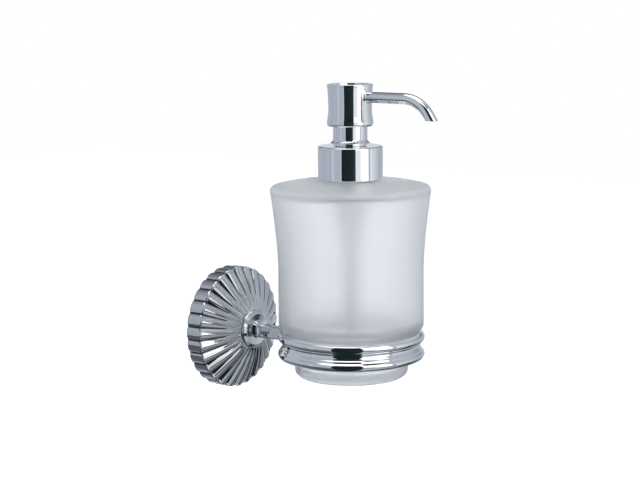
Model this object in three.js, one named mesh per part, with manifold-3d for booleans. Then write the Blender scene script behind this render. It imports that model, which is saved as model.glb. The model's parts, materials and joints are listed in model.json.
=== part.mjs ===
// A lotion dispenser on a wall holder. Millimetres, +Z up, the wall is the plane Y = 0.
// The origin is the centre of the wall plate's back face, and the bottle hangs out along -Y.
import * as THREE from 'three';
import { mergeVertices } from 'three/addons/utils/BufferGeometryUtils.js';
import Module from 'manifold-3d';

const wasm = await Module();
wasm.setup();

// Fits that every piece shares
const seam = 0.15;              // between pieces that are pressed or screwed together
const runningGap = 0.3;         // between pieces that slide or turn on each other
const overrun = 1;              // how far a cutter passes through what it cuts

// Wall plate
const plateRadius = 26.4;
const plateThickness = 6.4;
const plateGrooveDepth = 1.8;
const plateGrooveHalfWidth = 2.2;
const wallScrewSpacing = 30;
const wallScrewHoleRadius = 2.4;
const wallScrewHeadRadius = 4.6;
const wallScrewHeadDepth = 2.4;

// Rosette
const rosetteMargin = 6.25;      // from the wall plate's edge to the rosette's rim
const rimDepth = 9.3;
const rimEdge = 0.5;
const padLevel = 19;            // the flat pad at the centre, above the wall
const padMargin = 0.5;
const faceBulge = 0.6;          // how far the face stands out of a straight cone
const fluteCount = 28;
const fluteTurnDegrees = -1.5;    // of the flutes about the rosette's axis
const rimFluteDepth = 0.95;
const faceFluteDepth = 1.5;
const rosetteWall = 2.4;
const rosetteWeb = 3;
const rimFluteFade = 2;         // exponents of how the flutes fade towards the pad
const faceFluteFade = 0.7;

// Grub screw in the rim of the rosette
const grubRadius = 2;
const grubSink = 1.2;
const grubTipGap = 0.6;
const grubTipRadius = 0.6;
const grubTipLength = 1.4;
const grubSocketRadius = 1.1;
const grubSocketDepth = 2;

// Arm flange
const flangeRadius = 10.4;
const flangeRim = 1;
const flangeRise = 1.75;
const flangeEdgeRound = 0.9;
const flangeNeckRadius = 3.2;
const flangeNeckLength = 2.2;
const coveRadius = 1.9;

// Arm and its screw
const armWidth = 6;
const armRootHeight = 6.9;
const armTipHeight = 6.2;
const armDrop = 0.35;
const armEdgeRound = 0.8;
const armScrewRadius = 2.5;
const armScrewGripShare = 0.3;    // of the arm's length, from its root to the ring
const armScrewHeadRadius = 4.5;
const armScrewHeadHeight = 3.5;
const washerRadius = 5;
const washerThickness = 1;

// Bottle
const reach = 83.8;             // from the wall to the bottle's axis
const footRadius = 29.1;
const footBottom = -16.4;
const footRound = 4;
const footRecess = 0.8;
const footRimWidth = 8.5;
const coneBottom = 1.3;         // the cone above the foot leans out at 45 degrees
const coneRise = 8.2;           // and its height, so the body is wider than the foot by as much
const bodyRound = 4.5;
const waistInset = 0.15;        // the waist is a little narrower than the body
const waistLevel = 38;
const lipFlare = 3.82;          // and the lip is wider than the waist
const lipLevel = 79.3;
const lipRound = 2.5;
const flarePower = 1.6;         // the exponent of the flare from waist to lip
const shoulderTop = 84.75;
const glassWall = 3.3;
const shoulderWall = 5.4;
const floorThickness = 5.2;
const neckRadius = 12.6;
const neckBore = 9.8;
const neckHeight = 12.4;

// Thread of the neck and of the closure
const threadPitch = 4.23;
const threadTurns = 1.25;
const threadDepth = 1.1;
const threadRootWidth = 2.4;
const threadCrestWidth = 1.2;
const threadSink = 0.4;         // how far a thread's root is buried in its wall
const threadInset = 1.9;        // from the neck's rim to the last thread
const insertThreadTurns = 1;

// Holder ring
const ringPlay = 0.5;           // between the foot and the ring's bore
const ringWidth = 8.4;          // from the bore to the beads
const ringBottom = -7.1;
const ringTop = 6.6;
const ringLip = 0.4;
const gasketThickness = 0.8;
const gasketWidth = 3.4;

// Closure: collar and insert
const closureRadius = 16.5;
const closureWall = 0.75;
const closureTop = 0.8;
const closureEdgeRound = 0.9;
const closureLift = 0.55;
const insertTop = 1.15;
const neckGasketThickness = 1.15;

// Pump housing
const housingRadius = 7.9;
const housingBore = 6.6;
const housingFlange = 1.15;
const nozzleRadius = 4.6;
const nozzleLength = 8;
const nozzleFloor = 1.5;
const lipBore = 2.1;
const lipThickness = 0.8;
const inletBore = 1.4;

// Inlet ball
const ballRadius = 2.4;
const ballLift = 1.5;
const ballGap = 0.2;

// Dip tube
const tubeRadius = 2.9;
const tubeBore = 2.1;
const tubeFloorGap = 2;
const tubeSlantDegrees = 30;

// Chaplet, stem, piston and spring
const chapletRadius = 7.4;
const chapletBore = 6.2;
const plugDepth = 5.5;
const plugRise = 3;
const stemRadius = 3.6;
const stemBore = 2.2;
const stemCollarRadius = 4.6;
const stemCollarThickness = 1.6;
const stemTail = 2;
const sealSlip = 1;
const sealHeight = 6;
const sealLip = 1.2;
const sealWaist = 0.9;
const rodRadius = 1.7;
const rodFlangeRadius = 5;
const rodFlangeThickness = 1.4;
const rodSpigotRadius = 3.3;
const rodSpigotLength = 3;
const rodGrip = 8;
const springLength = 15;
const springRadius = 4.5;
const springWire = 0.9;
const springTurns = 6;

// Guide neck and head
const guideRadius = 8.72;
const guideFootRadius = 8.5;
const guideFootHeight = 1.2;
const guideFlareRadius = 10.1;
const guideFlareEdge = 0.25;
const guideFlareHeight = 1.6;
const guideFlareShares = { out: 0.28, up: 0.4 };    // where the flare bends
const guideShow = 9.85;         // what shows of the sleeve under the head at rest
const pressStroke = 7.5;
const pressGap = 0.35;
const headBottomRadius = 11.1;
const headBellyRadius = 11.8;
const headWaistRadius = 11.05;
const headTopRadius = 11.7;
const headHeight = 21.1;
const headBore = 9.6;
const headEdgeRound = 0.9;
const headLipRound = 0.6;
const capThickness = 1;
const capInset = 0.6;
const capRim = 1.2;
const capDish = 0.2;
const hubRadius = 5.2;
const hubLength = 10;
const coreFloorWall = 0.8;

// Spout
const spoutRadius = 2.75;
const spoutBore = 1.9;
const spoutDrop = 6.34;         // from the head's top to the spout's axis
const spoutSeat = 3.1;          // from the head's axis to the spout's inner end
const spoutBendStart = 32.95;
const spoutBendRadius = 17.3;
const spoutBendDegrees = 56.4;
const spoutTipLength = 6;
const spoutTipDrop = 10.26;      // from the spout's axis to its level mouth

// Facets
const largeSteps = 48;
const mediumSteps = 32;
const smallSteps = 16;
const fluteSteps = 4;
const arcSteps = 3;
const threadSteps = 24;
const hexSides = 6;
const springSides = 5;
const springSteps = 8;          // along one turn
const spoutSides = 10;
const spoutSteps = 18;

const rosetteRadius = plateRadius + rosetteMargin;

// Radii that follow the foot
const bodyRadius = footRadius + coneRise;
const waistRadius = bodyRadius - waistInset;
const lipRadius = waistRadius + lipFlare;
const ringBore = footRadius + ringPlay;
const beadRadius = ringBore + ringWidth;

// Distances from the wall along the arm
const armRoot = padLevel + seam + flangeRim + flangeRise + flangeNeckLength + seam;
const washerTop = padLevel - rosetteWeb - seam;
const screwHeadTop = washerTop - washerThickness - seam;
const armScrewEnd = armRoot + (reach - beadRadius - armRoot) * armScrewGripShare;

// Levels above the ring's middle plane, from the glass upward
const neckTop = shoulderTop + neckHeight;
const neckThreadStart = neckTop - threadInset - threadPitch * threadTurns;
const gasketBottom = neckTop + seam;
const housingFlangeBottom = gasketBottom + neckGasketThickness + seam;
const housingTop = housingFlangeBottom + housingFlange;
const insertTopBottom = housingTop + seam;
const closureInnerTop = insertTopBottom + insertTop + seam;
const closureTopLevel = closureInnerTop + closureTop;
const closureBottom = shoulderTop + closureLift;
const guideBottom = closureTopLevel + seam;
const headBottom = guideBottom + guideShow;
const headTop = headBottom + headHeight;
const spoutLevel = headTop - spoutDrop;
const coreFloor = spoutLevel - spoutRadius - seam - coreFloorWall;
const capTopLevel = headTop - capInset;
const coreTop = capTopLevel - capThickness - seam;
const guideTop = coreFloor - pressStroke - pressGap;

// Levels of the piston train, from the chaplet downward
const plugBottom = housingTop - plugDepth;
const plugTop = housingTop + plugRise;
const stemCollarTop = plugBottom - runningGap;
const stemBottom = stemCollarTop - stemCollarThickness - stemTail;
const stemTop = coreFloor - seam;
const sealTop = stemBottom - runningGap - sealSlip;
const sealBottom = sealTop - sealHeight;
const rodFlangeTop = sealBottom - runningGap;
const rodFlangeBottom = rodFlangeTop - rodFlangeThickness;
const springTop = rodFlangeBottom - seam;
const ledgeLevel = springTop - springLength - seam;
const ballLipBottom = ledgeLevel - lipThickness;
const ballLevel = ballLipBottom - Math.sqrt(ballRadius ** 2 - lipBore ** 2) - ballGap - ballLift;
const ballChamberRadius = ballRadius + runningGap + ballGap;
const socketTop = ballLevel - ballRadius - nozzleFloor;
const nozzleBottom = socketTop - nozzleLength;

// Plain finishes, one for each material of the real pieces
const finish = {
  chrome: { color: 0xc6cad2, roughness: 0.08, metalness: 1 },
  zinc: { color: 0x9ea3a8, roughness: 0.45, metalness: 1 },
  steel: { color: 0xb4b8bc, roughness: 0.25, metalness: 1 },
  glass: { color: 0xc7cdd6, roughness: 0.55, metalness: 0 },
  plastic: { color: 0xe9e9e4, roughness: 0.4, metalness: 0 },
  rubber: { color: 0xd9dbdc, roughness: 0.7, metalness: 0 },
};

const dispenser = new THREE.Group();
const wallSide = new THREE.Group();      // its +Z points out of the wall
wallSide.rotation.x = Math.PI / 2;
const bottleSide = new THREE.Group();    // its Z axis is the bottle's
bottleSide.position.y = -reach;
dispenser.add(wallSide, bottleSide);

function piece(parent, name, geometry, look) {
  const mesh = new THREE.Mesh(geometry, new THREE.MeshStandardMaterial(finish[look]));
  mesh.name = name;
  parent.add(mesh);
  return mesh;
}

// Joins the vertices that lie in one place and drops the triangles that have no area left.
function welded(geometry) {
  geometry.deleteAttribute('normal');
  geometry.deleteAttribute('uv');
  const merged = mergeVertices(geometry);
  const kept = [];
  const corners = merged.index.array;
  for (let i = 0; i < corners.length; i += 3) {
    const [a, b, c] = corners.slice(i, i + 3);
    if (a !== b && b !== c && c !== a) kept.push(a, b, c);
  }
  merged.setIndex(kept);
  merged.computeVertexNormals();
  return merged;
}

function solidOf(geometry) {
  return new wasm.Manifold(new wasm.Mesh({
    numProp: 3,
    vertProperties: new Float32Array(geometry.attributes.position.array),
    triVerts: new Uint32Array(geometry.index.array),
  }));
}

function geometryOf(solid) {
  const mesh = solid.getMesh();
  const geometry = new THREE.BufferGeometry();
  geometry.setAttribute('position', new THREE.BufferAttribute(mesh.vertProperties, 3));
  geometry.setIndex(new THREE.BufferAttribute(mesh.triVerts, 1));
  geometry.computeVertexNormals();
  return geometry;
}

// Rounds the corners [x, y, radius] of a polygon with arcs tangent to both sides.
function rounded(corners, closed = true) {
  const at = (i) => new THREE.Vector2(...corners[(i + corners.length) % corners.length].slice(0, 2));
  return corners.flatMap(([, , radius = 0], i) => {
    const here = at(i);
    const ends = !closed && (i === 0 || i === corners.length - 1);
    if (!radius || ends) return [here];
    const before = at(i - 1).sub(here);
    const after = at(i + 1).sub(here);
    const half = Math.abs(before.angleTo(after)) / 2;
    const room = Math.min(before.length(), after.length()) / 2;
    const back = Math.min(radius / Math.tan(half), room);
    const curve = new THREE.QuadraticBezierCurve(
      here.clone().add(before.setLength(back)), here, here.clone().add(after.setLength(back)),
    );
    return curve.getPoints(arcSteps);
  });
}

// Turns an outline about Z. It runs counterclockwise, with the radius to the right and Z up.
function turned(points, steps) {
  const lathe = new THREE.LatheGeometry(points, steps);
  lathe.rotateX(Math.PI / 2);
  return welded(lathe);
}

function turnedRing(corners, steps) {
  const points = rounded(corners);
  return turned([...points, points[0]], steps);
}

function turnedPiece(corners, steps) {
  return turned(rounded(corners, false), steps);
}

// A plain rod from one level to another, round or with as many sides as steps.
function rod(radius, bottom, top, steps = smallSteps) {
  return turnedPiece([[0, bottom], [radius, bottom], [radius, top], [0, top]], steps);
}

// A rod that lies along -Y, from one distance to another, at the given level.
function levelRod(radius, from, to, level) {
  const lying = rod(radius, from, to);
  lying.rotateX(Math.PI / 2);
  lying.translate(0, 0, level);
  return lying;
}

// Closes a grid of rows of points into a solid. Rows run round, and the last row joins the first.
function closedGrid(rows) {
  const wide = rows[0].length;
  const index = [];
  rows.forEach((row, i) => {
    const next = (i + 1) % rows.length;
    for (let j = 0; j < wide; j += 1) {
      const side = (j + 1) % wide;
      const [a, b, c, d] = [i * wide + j, i * wide + side, next * wide + side, next * wide + j];
      index.push(a, b, c, a, c, d);
    }
  });
  const geometry = new THREE.BufferGeometry().setFromPoints(rows.flat());
  geometry.setIndex(index);
  return welded(geometry);
}

function makeWallPlate() {
  const middle = plateThickness / 2;
  const disc = turnedPiece([
    [0, 0], [plateRadius, 0], [plateRadius, middle - plateGrooveHalfWidth],
    [plateRadius - plateGrooveDepth, middle], [plateRadius, middle + plateGrooveHalfWidth],
    [plateRadius, plateThickness], [0, plateThickness],
  ], mediumSteps);
  const hole = turnedPiece([
    [0, -overrun], [wallScrewHoleRadius, -overrun],
    [wallScrewHoleRadius, plateThickness - wallScrewHeadDepth],
    [wallScrewHeadRadius, plateThickness], [wallScrewHeadRadius, plateThickness + overrun],
    [0, plateThickness + overrun],
  ], smallSteps);
  const side = wallScrewSpacing / 2;
  const right = solidOf(hole).translate([side, 0, 0]);
  const left = solidOf(hole).translate([-side, 0, 0]);
  return geometryOf(solidOf(disc).subtract(right).subtract(left));
}

// How far into the groove between two flutes an angle lies: 0 on a crest, 1 in the groove.
function grooveShare(angle) {
  const turnShare = (fluteCount * angle / (2 * Math.PI)) % 1;
  return (2 * Math.min(turnShare, 1 - turnShare)) ** 2;
}

function makeRosette() {
  const recess = plateRadius + runningGap;
  const padRadius = flangeRadius + padMargin;
  const webLevel = padLevel - rosetteWeb;
  const recessTop = plateThickness + runningGap;
  const holeRadius = armScrewRadius + runningGap;
  const innerRadius = padRadius - rosetteWall;
  // Rows of [radius, level, radial groove, level groove] from the wall out, over the face and back inside
  const rows = [
    [rosetteRadius, 0, rimFluteDepth, 0],
    [rosetteRadius, rimDepth - rimEdge, rimFluteDepth, 0],
  ];
  const faceShares = [0, 0.16, 0.34, 0.54, 0.76, 1];
  const edgeRadius = rosetteRadius - rimEdge;
  for (const share of faceShares) {
    const bulge = faceBulge * Math.sin(Math.PI * share);
    rows.push([
      edgeRadius + (padRadius - edgeRadius) * share,
      rimDepth + (padLevel - rimDepth) * share + bulge,
      rimFluteDepth * (1 - share) ** rimFluteFade,
      faceFluteDepth * (1 - share) ** faceFluteFade,
    ]);
  }
  rows.push(
    [holeRadius, padLevel, 0, 0],
    [holeRadius, webLevel, 0, 0],
    [innerRadius, webLevel, 0, 0],
    [recess, recessTop, 0, 0],
    [recess, 0, 0, 0],
  );
  const steps = fluteCount * fluteSteps;
  const shell = closedGrid(rows.map(([radius, level, radialDepth, levelDepth]) => {
    const row = [];
    for (let j = 0; j < steps; j += 1) {
      const angle = 2 * Math.PI * j / steps;
      const groove = grooveShare(angle);
      const r = radius - radialDepth * groove;
      const turn = angle + THREE.MathUtils.degToRad(fluteTurnDegrees);
      row.push(new THREE.Vector3(r * Math.cos(turn), r * Math.sin(turn), level - levelDepth * groove));
    }
    return row;
  }));
  const hole = rod(grubRadius + seam, recess - overrun, rosetteRadius + overrun);
  hole.rotateX(Math.PI / 2);
  hole.translate(0, 0, plateThickness / 2);
  return geometryOf(solidOf(shell).subtract(solidOf(hole)));
}

function makeGrubScrew() {
  const tip = plateRadius - plateGrooveDepth + grubTipGap;
  const head = rosetteRadius - grubSink;
  const body = turnedPiece([
    [0, tip], [grubTipRadius, tip], [grubRadius, tip + grubTipLength], [grubRadius, head], [0, head],
  ], smallSteps);
  const socket = rod(grubSocketRadius, head - grubSocketDepth, head + overrun, hexSides);
  const screw = geometryOf(solidOf(body).subtract(solidOf(socket)));
  screw.rotateX(Math.PI / 2);
  screw.translate(0, 0, plateThickness / 2);
  return screw;
}

function makeArmFlange() {
  const back = padLevel + seam;
  const face = back + flangeRim + flangeRise;
  const top = face + flangeNeckLength;
  const bore = armScrewRadius + seam;
  return turnedRing([
    [bore, back], [flangeRadius, back], [flangeRadius, back + flangeRim, flangeEdgeRound],
    [flangeRadius - flangeRise, face - seam, flangeEdgeRound],
    [flangeNeckRadius, face, coveRadius], [flangeNeckRadius, top], [bore, top],
  ], mediumSteps);
}

function makeArmScrew() {
  const head = rod(armScrewHeadRadius, screwHeadTop - armScrewHeadHeight, screwHeadTop, hexSides);
  const shank = rod(armScrewRadius, screwHeadTop - overrun, armScrewEnd);
  return geometryOf(solidOf(head).add(solidOf(shank)));
}

function makeWasher() {
  const bore = armScrewRadius + seam;
  const bottom = washerTop - washerThickness;
  return turnedRing([
    [bore, bottom], [washerRadius, bottom], [washerRadius, washerTop], [bore, washerTop],
  ], smallSteps);
}

// The outer side of the holder ring from its bottom to its top, moved out by a gap.
// Points are shares of the section's width and height, as [end] or [control, end] of a curve.
const ringOutlineShares = [
  [[0.67, 0]],
  [[0.845, 0.015], [0.97, 0.157]],
  [[1, 0.2], [0.88, 0.245]],
  [[0.73, 0.37]],
  [[0.48, 0.423]],
  [[0.845, 0.708]],
  [[1.077, 0.766], [0.887, 0.905]],
  [[0.774, 0.953], [0.63, 1]],
];

function ringOuterPoints(gap) {
  const place = ([across, up]) => [
    ringBore + ringWidth * across + gap,
    ringBottom + (ringTop - ringBottom) * up,
  ];
  const path = new THREE.Path();
  ringOutlineShares.forEach((step, i) => {
    const points = step.map(place);
    if (i === 0) path.moveTo(...points[0]);
    else if (points.length === 1) path.lineTo(...points[0]);
    else path.quadraticCurveTo(...points[0], ...points[1]);
  });
  return path.getPoints(arcSteps + 1);
}

// The level of the bottle's 45 degree cone at a radius, lowered along the cone's normal.
function coneLevel(radius, depth) {
  return coneBottom + (radius - footRadius) - depth * Math.SQRT2;
}

function makeHolderRing() {
  const seatDepth = gasketThickness + 2 * seam;
  const outer = ringOuterPoints(0);
  const top = outer[outer.length - 1];
  const lipInner = top.x - ringLip;
  const inner = [
    new THREE.Vector2(lipInner, top.y - ringLip / 2),
    new THREE.Vector2(lipInner, coneLevel(lipInner, seatDepth)),
    new THREE.Vector2(ringBore, coneLevel(ringBore, seatDepth)),
    new THREE.Vector2(ringBore, ringBottom + ringLip),
  ];
  return turned([...outer, ...inner, outer[0]], largeSteps);
}

function makeSeatGasket() {
  const inner = ringBore + seam;
  const outer = inner + gasketWidth;
  const top = seam;
  const bottom = seam + gasketThickness;
  return turnedRing([
    [inner, coneLevel(inner, bottom)], [outer, coneLevel(outer, bottom)],
    [outer, coneLevel(outer, top)], [inner, coneLevel(inner, top)],
  ], largeSteps);
}

function makeArm() {
  const length = reach - footRadius - armRoot;
  const halfWidth = armWidth / 2;
  const halfHeight = armRootHeight / 2;
  const section = new THREE.Shape(rounded([
    [halfWidth, halfHeight, armEdgeRound], [-halfWidth, halfHeight, armEdgeRound],
    [-halfWidth, -halfHeight, armEdgeRound], [halfWidth, -halfHeight, armEdgeRound],
  ]));
  const bar = new THREE.ExtrudeGeometry(section, { depth: length, bevelEnabled: false });
  const place = bar.attributes.position;
  for (let i = 0; i < place.count; i += 1) {
    const along = place.getZ(i) / length;
    place.setY(i, place.getY(i) * (1 + (armTipHeight / armRootHeight - 1) * along));
  }
  bar.translate(0, -armDrop, armRoot);
  bar.rotateX(Math.PI / 2);
  const outer = ringOuterPoints(seam);
  const plug = turned([
    new THREE.Vector2(0, outer[0].y), ...outer, new THREE.Vector2(0, outer[outer.length - 1].y),
  ], largeSteps);
  plug.translate(0, -reach, 0);
  const hole = levelRod(armScrewRadius + seam, armRoot - overrun, armScrewEnd + overrun, 0);
  return geometryOf(solidOf(welded(bar)).subtract(solidOf(plug)).subtract(solidOf(hole)));
}

// A thread as a ridge that climbs a right-hand helix, with its root buried in the wall.
function thread(rootRadius, crestRadius, sink, startLevel, turns) {
  const inward = Math.sign(crestRadius - rootRadius);
  const root = rootRadius - inward * sink;
  const halfRoot = threadRootWidth / 2;
  const halfCrest = threadCrestWidth / 2;
  const steps = Math.round(threadSteps * turns);
  const section = inward > 0
    ? [[root, -halfRoot], [crestRadius, -halfCrest], [crestRadius, halfCrest], [root, halfRoot]]
    : [[root, -halfRoot], [root, halfRoot], [crestRadius, halfCrest], [crestRadius, -halfCrest]];
  const points = [];
  for (let i = 0; i <= steps; i += 1) {
    const angle = 2 * Math.PI * turns * i / steps;
    for (const [radius, offset] of section) {
      const level = startLevel + threadPitch * turns * i / steps + offset;
      points.push(new THREE.Vector3(radius * Math.cos(angle), radius * Math.sin(angle), level));
    }
  }
  const wide = section.length;
  const index = [];
  for (let i = 0; i < steps; i += 1) {
    for (let k = 0; k < wide; k += 1) {
      const side = (k + 1) % wide;
      const [a, b, c, d] = [i * wide + k, i * wide + side, (i + 1) * wide + side, (i + 1) * wide + k];
      index.push(a, c, b, a, d, c);
    }
  }
  const end = steps * wide;
  index.push(0, 1, 2, 0, 2, 3, end, end + 2, end + 1, end, end + 3, end + 2);
  const geometry = new THREE.BufferGeometry().setFromPoints(points);
  geometry.setIndex(index);
  return solidOf(welded(geometry));
}

// The bottle's flare: the waist's radius plus a power of the height above the waist.
function flareRadius(level) {
  const share = Math.max(0, (level - waistLevel) / (lipLevel - waistLevel));
  return waistRadius + (lipRadius - waistRadius) * share ** flarePower;
}

function makeBottle() {
  const bodyCorner = coneBottom + coneRise;
  const flareShares = [0.25, 0.5, 0.75, 1];
  const domeShares = [1, 0.66, 0.33];
  const flareAt = (share) => waistLevel + (lipLevel - waistLevel) * share;
  const domeRadius = lipRadius - lipRound;
  const domeBottom = lipLevel + lipRound;
  const lipArcShares = [0.35, 0.7];
  const outer = [
    [0, footBottom + footRecess],
    [footRadius - footRimWidth, footBottom + footRecess],
    [footRadius - footRimWidth + footRecess, footBottom],
    [footRadius, footBottom, footRound],
    [footRadius, coneBottom],
    [bodyRadius, bodyCorner, bodyRound],
    [waistRadius, waistLevel],
    ...flareShares.map((share) => [flareRadius(flareAt(share)), flareAt(share)]),
    ...lipArcShares.map((share) => [
      domeRadius + lipRound * Math.cos(share * Math.PI / 2),
      lipLevel + lipRound * Math.sin(share * Math.PI / 2),
    ]),
    ...domeShares.map((share) => [
      neckRadius + (domeRadius - neckRadius) * share,
      domeBottom + (shoulderTop - domeBottom) * (1 - share ** 2),
    ]),
    [neckRadius, shoulderTop],
    [neckRadius, neckTop],
    [neckBore, neckTop],
  ];
  const innerFoot = footRadius - glassWall;
  const innerBody = waistRadius - glassWall;
  const innerShoulder = lipLevel + lipRound - shoulderWall;
  const inner = [
    [neckBore, shoulderTop - shoulderWall],
    [flareRadius(innerShoulder) - glassWall, innerShoulder, lipRound],
    [flareRadius(flareAt(flareShares[1])) - glassWall, flareAt(flareShares[1])],
    [innerBody, waistLevel],
    [innerBody, bodyCorner + glassWall],
    [innerFoot, coneBottom + glassWall],
    [innerFoot, footBottom + floorThickness],
    [0, footBottom + floorThickness],
  ];
  const body = turnedPiece([...outer, ...inner], largeSteps);
  const ridge = thread(neckRadius, neckRadius + threadDepth, threadSink, neckThreadStart, threadTurns);
  return geometryOf(solidOf(body).add(ridge));
}

function makeNeckGasket() {
  const inner = neckBore + seam;
  const outer = neckRadius + threadDepth - seam;
  const top = gasketBottom + neckGasketThickness;
  return turnedRing([
    [inner, gasketBottom], [outer, gasketBottom], [outer, top], [inner, top],
  ], mediumSteps);
}

function makeClosureShell() {
  const inner = closureRadius - closureWall;
  const hole = chapletRadius + runningGap;
  return turnedRing([
    [hole, closureInnerTop], [inner, closureInnerTop], [inner, closureBottom],
    [closureRadius, closureBottom], [closureRadius, closureTopLevel, closureEdgeRound],
    [hole, closureTopLevel],
  ], mediumSteps);
}

function makeClosureInsert() {
  const outer = closureRadius - closureWall - seam;
  const bore = neckRadius + threadDepth + runningGap;
  const hole = chapletRadius + runningGap;
  const bottom = closureBottom + closureWall;
  const cup = turnedRing([
    [hole, insertTopBottom], [bore, insertTopBottom], [bore, bottom], [outer, bottom],
    [outer, insertTopBottom + insertTop], [hole, insertTopBottom + insertTop],
  ], mediumSteps);
  // The closure's thread hangs under the neck's thread, a running gap below it
  const flank = (threadRootWidth + threadCrestWidth) / 2 + runningGap;
  const ridge = thread(bore, bore - threadDepth, threadSink, neckThreadStart - flank, insertThreadTurns);
  return geometryOf(solidOf(cup).add(ridge));
}

function makeHousing() {
  const chamber = ballChamberRadius;
  // The ball's seat is a 45 degree cone, a gap below the ball
  const seatLevel = (radius) => ballLevel - (ballRadius + ballGap) * Math.SQRT2 + radius;
  const flange = neckRadius + threadDepth - seam;
  const socket = tubeRadius + seam;
  return turnedRing([
    [housingBore, ledgeLevel], [housingBore, housingTop], [flange, housingTop],
    [flange, housingFlangeBottom], [housingRadius, housingFlangeBottom],
    [housingRadius, ballLipBottom], [nozzleRadius, ballLevel - ballRadius],
    [nozzleRadius, nozzleBottom], [socket, nozzleBottom], [socket, socketTop],
    [inletBore, socketTop], [inletBore, seatLevel(inletBore)], [chamber, seatLevel(chamber)],
    [chamber, ballLipBottom], [lipBore, ballLipBottom], [lipBore, ledgeLevel],
  ].reverse(), smallSteps);
}

function makeBall() {
  const ball = new THREE.SphereGeometry(ballRadius, smallSteps / 2, smallSteps / 3);
  ball.rotateX(Math.PI / 2);
  ball.translate(0, 0, ballLevel);
  return welded(ball);
}

function makeDipTube() {
  const bottom = footBottom + floorThickness + tubeFloorGap;
  const top = socketTop - seam;
  const tube = turnedRing([
    [tubeBore, bottom], [tubeRadius, bottom], [tubeRadius, top], [tubeBore, top],
  ], smallSteps / 2);
  // The tube's end is cut slantwise, so that the floor can't close it
  const bladeWidth = 2 * (tubeRadius + overrun);
  const blade = new THREE.BoxGeometry(bladeWidth, bladeWidth, 2 * tubeRadius);
  blade.rotateX(THREE.MathUtils.degToRad(tubeSlantDegrees));
  blade.translate(0, 0, bottom - tubeRadius / 2);
  return geometryOf(solidOf(tube).subtract(solidOf(welded(blade))));
}

function makeChaplet() {
  const plug = housingBore - seam;
  const guide = stemRadius + runningGap;
  const top = guideTop - seam;
  const seat = housingTop + seam;
  return turnedRing([
    [guide, plugBottom], [plug, plugBottom], [plug, seat], [chapletRadius, seat],
    [chapletRadius, top], [chapletBore, top], [chapletBore, plugTop], [guide, plugTop],
  ], smallSteps);
}

function makeStem() {
  return turnedRing([
    [stemBore, stemBottom], [stemRadius, stemBottom],
    [stemRadius, stemCollarTop - stemCollarThickness],
    [stemCollarRadius, stemCollarTop - stemCollarThickness],
    [stemCollarRadius, stemCollarTop], [stemRadius, stemCollarTop],
    [stemRadius, stemTop], [stemBore, stemTop],
  ], smallSteps);
}

function makePistonSeal() {
  const bore = rodRadius + runningGap;
  const outer = housingBore - runningGap;
  const waist = outer - sealWaist;
  return turnedRing([
    [bore, sealBottom], [outer, sealBottom], [outer, sealBottom + sealLip],
    [waist, sealBottom + 2 * sealLip], [waist, sealTop - 2 * sealLip], [outer, sealTop - sealLip],
    [outer, sealTop], [bore, sealTop],
  ], smallSteps);
}

function makePistonRod() {
  const tip = rodFlangeBottom - rodSpigotLength;
  const top = stemBottom + rodGrip;
  return turnedPiece([
    [0, tip], [rodSpigotRadius, tip, seam], [rodSpigotRadius, rodFlangeBottom],
    [rodFlangeRadius, rodFlangeBottom], [rodFlangeRadius, rodFlangeTop],
    [rodRadius, rodFlangeTop], [rodRadius, top], [0, top],
  ], smallSteps);
}

function roundSection(radius, sides) {
  return new THREE.Shape(new THREE.EllipseCurve(0, 0, radius, radius).getPoints(sides).slice(0, sides));
}

class Helix extends THREE.Curve {
  constructor(radius, bottom, top, turns) {
    super();
    Object.assign(this, { radius, bottom, top, turns });
  }

  getPoint(share, target = new THREE.Vector3()) {
    const angle = 2 * Math.PI * this.turns * share;
    const level = this.bottom + (this.top - this.bottom) * share;
    return target.set(this.radius * Math.cos(angle), this.radius * Math.sin(angle), level);
  }
}

function makeSpring() {
  const half = springWire / 2;
  const path = new Helix(springRadius, springTop - springLength + half, springTop - half, springTurns);
  const steps = springSteps * springTurns;
  return welded(new THREE.ExtrudeGeometry(roundSection(half, springSides), { steps, extrudePath: path }));
}

// A sleeve on a short foot, with a concave flare just above it.
function makeGuideNeck() {
  const bore = chapletRadius + seam;
  const footTop = guideBottom + guideFootHeight;
  const flareBottom = footTop + guideFlareEdge;
  const bend = new THREE.Vector2(
    guideRadius + (guideFlareRadius - guideRadius) * guideFlareShares.out,
    flareBottom + guideFlareHeight * guideFlareShares.up,
  );
  const flare = new THREE.QuadraticBezierCurve(
    new THREE.Vector2(guideFlareRadius, flareBottom), bend,
    new THREE.Vector2(guideRadius, flareBottom + guideFlareHeight),
  ).getPoints(arcSteps + 1);
  const points = [
    new THREE.Vector2(bore, guideBottom), new THREE.Vector2(guideFootRadius, guideBottom),
    new THREE.Vector2(guideFootRadius, footTop), new THREE.Vector2(guideFlareRadius, footTop),
    ...flare, new THREE.Vector2(guideRadius, guideTop), new THREE.Vector2(bore, guideTop),
  ];
  return turned([...points, points[0]], mediumSteps);
}

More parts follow.
